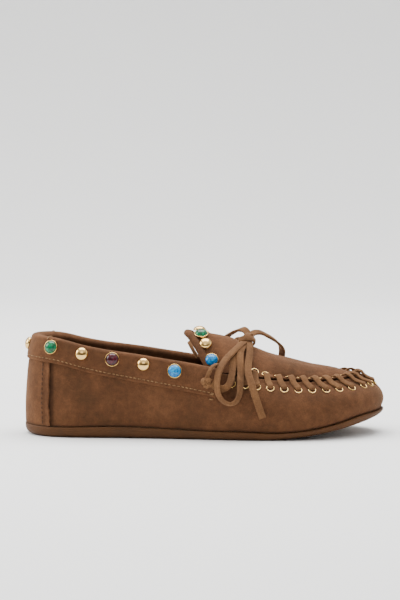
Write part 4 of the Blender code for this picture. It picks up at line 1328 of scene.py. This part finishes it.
CROWN = 0.09
stud("gold", "crown_stud", *tongue_seat(CROWN, 1.2 * MM), "tongue")
for sign, side, kinds in ((-1, "lateral", ("green", "gold", "turquoise")), (1, "medial", ("purple", "gold", "turquoise"))):
    q, last, before = CROWN, tongue_seat(CROWN)[0], "gold"
    for number, (kind, space) in enumerate(zip(kinds, (0.3, 0.3, 4.5), strict=True), 1):
        apart, from_edge = stud_radius(before) + stud_radius(kind) + space * MM, stud_radius(kind) + 0.5 * MM
        edge = tongue_point(0.7, sign)
        while (
            np.linalg.norm(tongue_seat(q)[0] - last) < apart
            and np.linalg.norm(tongue_seat(q + sign * 0.005)[0] - edge) > from_edge
        ):
            q += sign * 0.005
        stud(kind, f"tongue_{side}_stud_{number}", *tongue_seat(q, 0.35 * MM), "tongue")
        last, before = tongue_seat(q)[0], kind
for pattern in (one_dome, one_cup, one_stone):
    bpy.data.objects.remove(pattern)

# ------------------------------------------------------------------------------------------ tied thong
# The drawstring is one flat suede thong, 5 mm wide, that runs round inside the collar, comes out over
# the rim at each side, is knotted there, and is tied in a bow on the instep with two square-cut tails.

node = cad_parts["drawstring"]
node.data.materials.clear()
node.data.materials.append(thong_suede)


def millimetres(*points):
    return [tuple(c * MM for c in p) for p in points]


THONGS = {
    "lateral_loop": (
        millimetres(
            (29.0, -8.0, 66.0), (26.4, -15.5, 64.0), (22.6, -21.0, 61.4), (18.4, -26.5, 58.2), (14.0, -33.0, 54.2),
            (10.4, -39.6, 49.0), (8.5, -43.3, 43.0), (8.3, -45.6, 36.4), (9.8, -46.6, 31.0), (13.1, -47.0, 27.2),
            (17.8, -47.2, 25.8), (21.6, -47.0, 28.0), (23.5, -45.8, 32.6), (24.1, -42.6, 38.4), (24.5, -37.0, 44.4),
            (24.4, -31.8, 50.6), (24.2, -26.6, 56.2), (25.6, -20.2, 61.0), (28.4, -13.0, 64.2),
        ),
        [
            (0.1, -0.4, 0.9), (-0.2, -0.6, 0.8), (-0.3, -0.7, 0.65), (-0.35, -0.75, 0.55), (-0.35, -0.8, 0.5),
            (-0.4, -0.85, 0.3), (-0.6, -0.8, 0.1), (-0.7, -0.7, 0.0), (-0.7, -0.6, -0.4), (-0.4, -0.5, -0.8),
            (0.1, -0.45, -0.9), (0.6, -0.6, -0.5), (0.75, -0.7, 0.0), (0.6, -0.8, 0.2), (0.4, -0.8, 0.4),
            (0.2, -0.8, 0.6), (0.1, -0.7, 0.7), (0.2, -0.6, 0.8), (0.3, -0.4, 0.9),
        ],
    ),
    "medial_loop": (
        millimetres(
            (31.6, -4.0, 66.0), (30.4, 0.0, 68.6), (27.6, 5.0, 71.2), (24.2, 10.0, 70.6), (19.2, 16.0, 67.6),
            (14.0, 23.5, 63.0), (9.8, 33.0, 56.0), (8.0, 39.5, 48.6), (8.0, 43.0, 41.0), (9.6, 45.0, 34.0),
            (13.2, 46.0, 29.6), (17.5, 46.4, 28.2), (21.6, 46.4, 30.2), (24.4, 45.4, 35.5), (25.8, 41.0, 43.0),
            (26.2, 34.6, 50.4), (27.2, 26.0, 57.0), (29.0, 16.0, 62.8), (30.5, 7.0, 66.2),
        ),
        [
            (0.2, -0.6, 0.8), (0.1, -0.7, 0.7), (-0.4, -0.4, 0.8), (-0.5, 0.2, 0.85), (-0.5, 0.55, 0.7),
            (-0.5, 0.7, 0.6), (-0.5, 0.8, 0.5), (-0.6, 0.8, 0.2), (-0.7, 0.7, 0.0), (-0.7, 0.6, -0.4),
            (-0.4, 0.5, -0.8), (0.1, 0.45, -0.9), (0.6, 0.6, -0.5), (0.7, 0.7, 0.0), (0.4, 0.8, 0.3),
            (0.2, 0.8, 0.5), (0.2, 0.7, 0.65), (0.2, 0.6, 0.8), (0.3, 0.4, 0.9),
        ],
    ),
    "lateral_tail": (
        millimetres(
            (30.4, -9.0, 66.2), (31.0, -16.0, 62.6), (30.8, -24.4, 56.8), (29.8, -31.0, 51.4), (29.6, -36.4, 46.4),
            (31.0, -41.4, 41.0), (33.0, -45.6, 34.6), (35.1, -48.0, 28.3), (37.1, -48.8, 22.4), (39.2, -48.8, 16.4),
        ),
        [
            (0.3, -0.3, 0.9), (0.3, -0.5, 0.8), (0.3, -0.6, 0.7), (0.2, -0.7, 0.65), (0.2, -0.75, 0.6),
            (0.1, -0.8, 0.5), (0, -0.9, 0.35), (0, -0.97, 0.2), (0, -1, 0.1), (0, -1, 0),
        ],
    ),
    "medial_tail": (
        millimetres(
            (31.8, -4.0, 65.6), (32.2, -0.5, 67.6), (34.4, 3.5, 69.2), (38.4, 6.5, 69.2), (43.8, 11.0, 66.4),
            (49.6, 17.0, 62.4), (53.6, 23.0, 58.2), (55.0, 31.0, 53.0), (54.4, 39.0, 46.4), (52.8, 45.0, 38.6),
            (51.5, 49.0, 30.0), (50.8, 50.6, 22.0),
        ),
        [
            (0.1, -0.7, 0.7), (-0.1, -0.7, 0.7), (0.1, -0.5, 0.85), (0.4, -0.3, 0.85), (0.55, -0.2, 0.8),
            (0.7, 0.0, 0.7), (0.75, 0.4, 0.5), (0.4, 0.7, 0.6), (0.2, 0.8, 0.5), (0.1, 0.9, 0.3), (0, 1, 0.1),
            (0, 1, 0),
        ],
    ),
    "lateral_lead": (
        millimetres(
            (26.4, -9.5, 65.0), (23.6, -18.0, 61.2), (20.8, -26.0, 55.6), (19.2, -32.4, 49.2), (18.2, -38.0, 43.4),
            (16.3, -42.0, 38.2), (12.6, -43.0, 35.7), (8.7, -43.2, 36.6), (4.6, -42.9, 39.4),
        ),
        [
            (0.1, -0.4, 0.9), (0.1, -0.6, 0.8), (0.1, -0.75, 0.65), (0.0, -0.8, 0.6), (-0.1, -0.85, 0.5),
            (-0.2, -0.9, 0.1), (0.1, -0.9, -0.2), (0.2, -0.95, 0.1), (0.2, -0.95, 0.2),
        ],
    ),
    "medial_lead": (
        millimetres(
            (27.0, 3.0, 65.4), (23.6, 11.0, 63.8), (21.4, 19.5, 59.6), (20.2, 26.5, 53.2), (19.2, 32.5, 46.8),
            (17.4, 38.5, 40.4), (13.0, 41.6, 36.2), (7.0, 41.6, 35.8), (1.4, 40.4, 38.6),
        ),
        [
            (0.1, 0.3, 0.95), (0.1, 0.5, 0.85), (0.1, 0.65, 0.75), (0.0, 0.8, 0.6), (-0.1, 0.85, 0.5),
            (-0.2, 0.9, 0.1), (0.1, 0.9, -0.2), (0.2, 0.95, 0.1), (0.2, 0.95, 0.2),
        ],
    ),
    "lateral_rim_strand": (
        millimetres((1.6, -42.6, 42.6), (2.8, -42.2, 46.6), (5.0, -40.2, 50.2), (8.2, -36.6, 51.6), (11.0, -31.8, 50.6)),
        [(-0.2, -0.95, 0.2), (-0.3, -0.85, 0.4), (-0.3, -0.6, 0.75), (0, -0.2, 1), (0.1, 0.2, 1)],
    ),
    "medial_rim_strand": (
        millimetres((-4.0, 39.5, 46.0), (-8.0, 38.5, 53.0), (-10.6, 33.5, 58.8), (-10.8, 27.5, 60.0), (-9.0, 22.5, 57.0), (-5.0, 19.0, 50.0)),
        [(-0.6, 0.8, 0.2), (-0.9, 0.3, 0.4), (-0.8, 0.1, 0.7), (-0.6, -0.1, 0.8), (-0.9, -0.2, 0.3), (-0.9, -0.2, 0.1)],
    ),
}

strands, lines = {}, {}
for seed, (name, (route, faces)) in enumerate(THONGS.items()):
    wide, thick = (2.8 * MM, 1.4 * MM) if "rim_strand" in name else (4.8 * MM, 1.7 * MM)
    piece, lines[name] = strap(name + "_thong", route, faces, width=wide, thick=thick, seed=seed * 3.1)
    painted(piece, "rubbed", lambda p: 0.0)
    strands[name] = dressed(piece, thong_suede, stands_for=[name])


def wrapped(name, routes, node, width=4.6 * MM, thick=1.6 * MM):
    """A knot from the short turns of thong that it is tied of, joined in one piece."""
    turns = [
        strap(f"{name}_{n}", route, faces, width=width, thick=thick, step=0.8 * MM, seed=n)[0]
        for n, (route, faces) in enumerate(routes)
    ]
    bpy.ops.object.select_all(action="DESELECT")
    for turn in turns:
        turn.select_set(True)
    bpy.context.view_layer.objects.active = turns[0]
    if len(turns) > 1:
        bpy.ops.object.join()
    whole = turns[0]
    whole.name = whole.data.name = name
    painted(whole, "rubbed", lambda p: -0.05)
    return dressed(whole, thong_suede, stands_for=[node])


# The bow's middle: one turn of thong round the crossing, and the two half hitches that show beside it
bow_turn = [
    (millimetres(
        (25.8, -5.0, 62.4), (24.0, -8.5, 64.2), (24.4, -11.6, 65.8), (27.2, -13.0, 67.0), (30.6, -12.4, 67.2),
        (33.4, -10.2, 66.2), (34.6, -7.6, 64.0), (33.4, -6.0, 61.6)),
     [(-0.7, -0.4, 0.5), (-0.8, -0.5, 0.4), (-0.5, -0.7, 0.6), (-0.2, -0.8, 0.6), (0.2, -0.75, 0.7),
      (0.6, -0.6, 0.6), (0.9, -0.4, 0.3), (0.9, -0.2, -0.2)]),
    (millimetres(
        (27.0, -9.6, 62.2), (27.2, -12.0, 64.8), (28.6, -11.2, 68.0), (30.6, -7.6, 69.4), (31.6, -3.2, 68.6),
        (31.4, 0.6, 65.6), (30.6, 2.0, 62.8)),
     [(-0.4, -0.9, 0.2), (-0.3, -0.9, 0.4), (-0.1, -0.6, 0.8), (0.1, -0.2, 0.95), (0.1, 0.3, 0.9),
      (0.1, 0.9, 0.4), (0, 1, 0)]),
]
bow_knot = wrapped("bow_middle", bow_turn, "bow_knot", width=4.2 * MM, thick=1.5 * MM)


def overhand(centre, side):
    """An overhand knot pulled small, a trefoil that the thong draws on the side of the shoe."""
    cx, cy, cz = centre
    path, face = [], []
    for n in range(19):
        t = 2 * math.pi * (n / 19) * 0.98 + 0.9
        x, z = math.sin(t) + 2 * math.sin(2 * t), math.cos(t) - 2 * math.cos(2 * t)
        path.append((cx + 0.95 * x, cy + side * 0.95 * (1.4 - math.sin(3 * t)), cz + 0.95 * z))
        face.append((0.25 * x, side, 0.25 * z))
    return millimetres(*path), face


side_knots = {
    side: wrapped(
        f"{side}_side_knot_tied", [overhand(centre, sign)], f"{side}_side_knot", width=2.8 * MM, thick=1.5 * MM
    )
    for side, sign, centre in (("lateral", -1, (1.2, -42.2, 40.0)), ("medial", 1, (-2.0, 39.4, 40.0)))
}
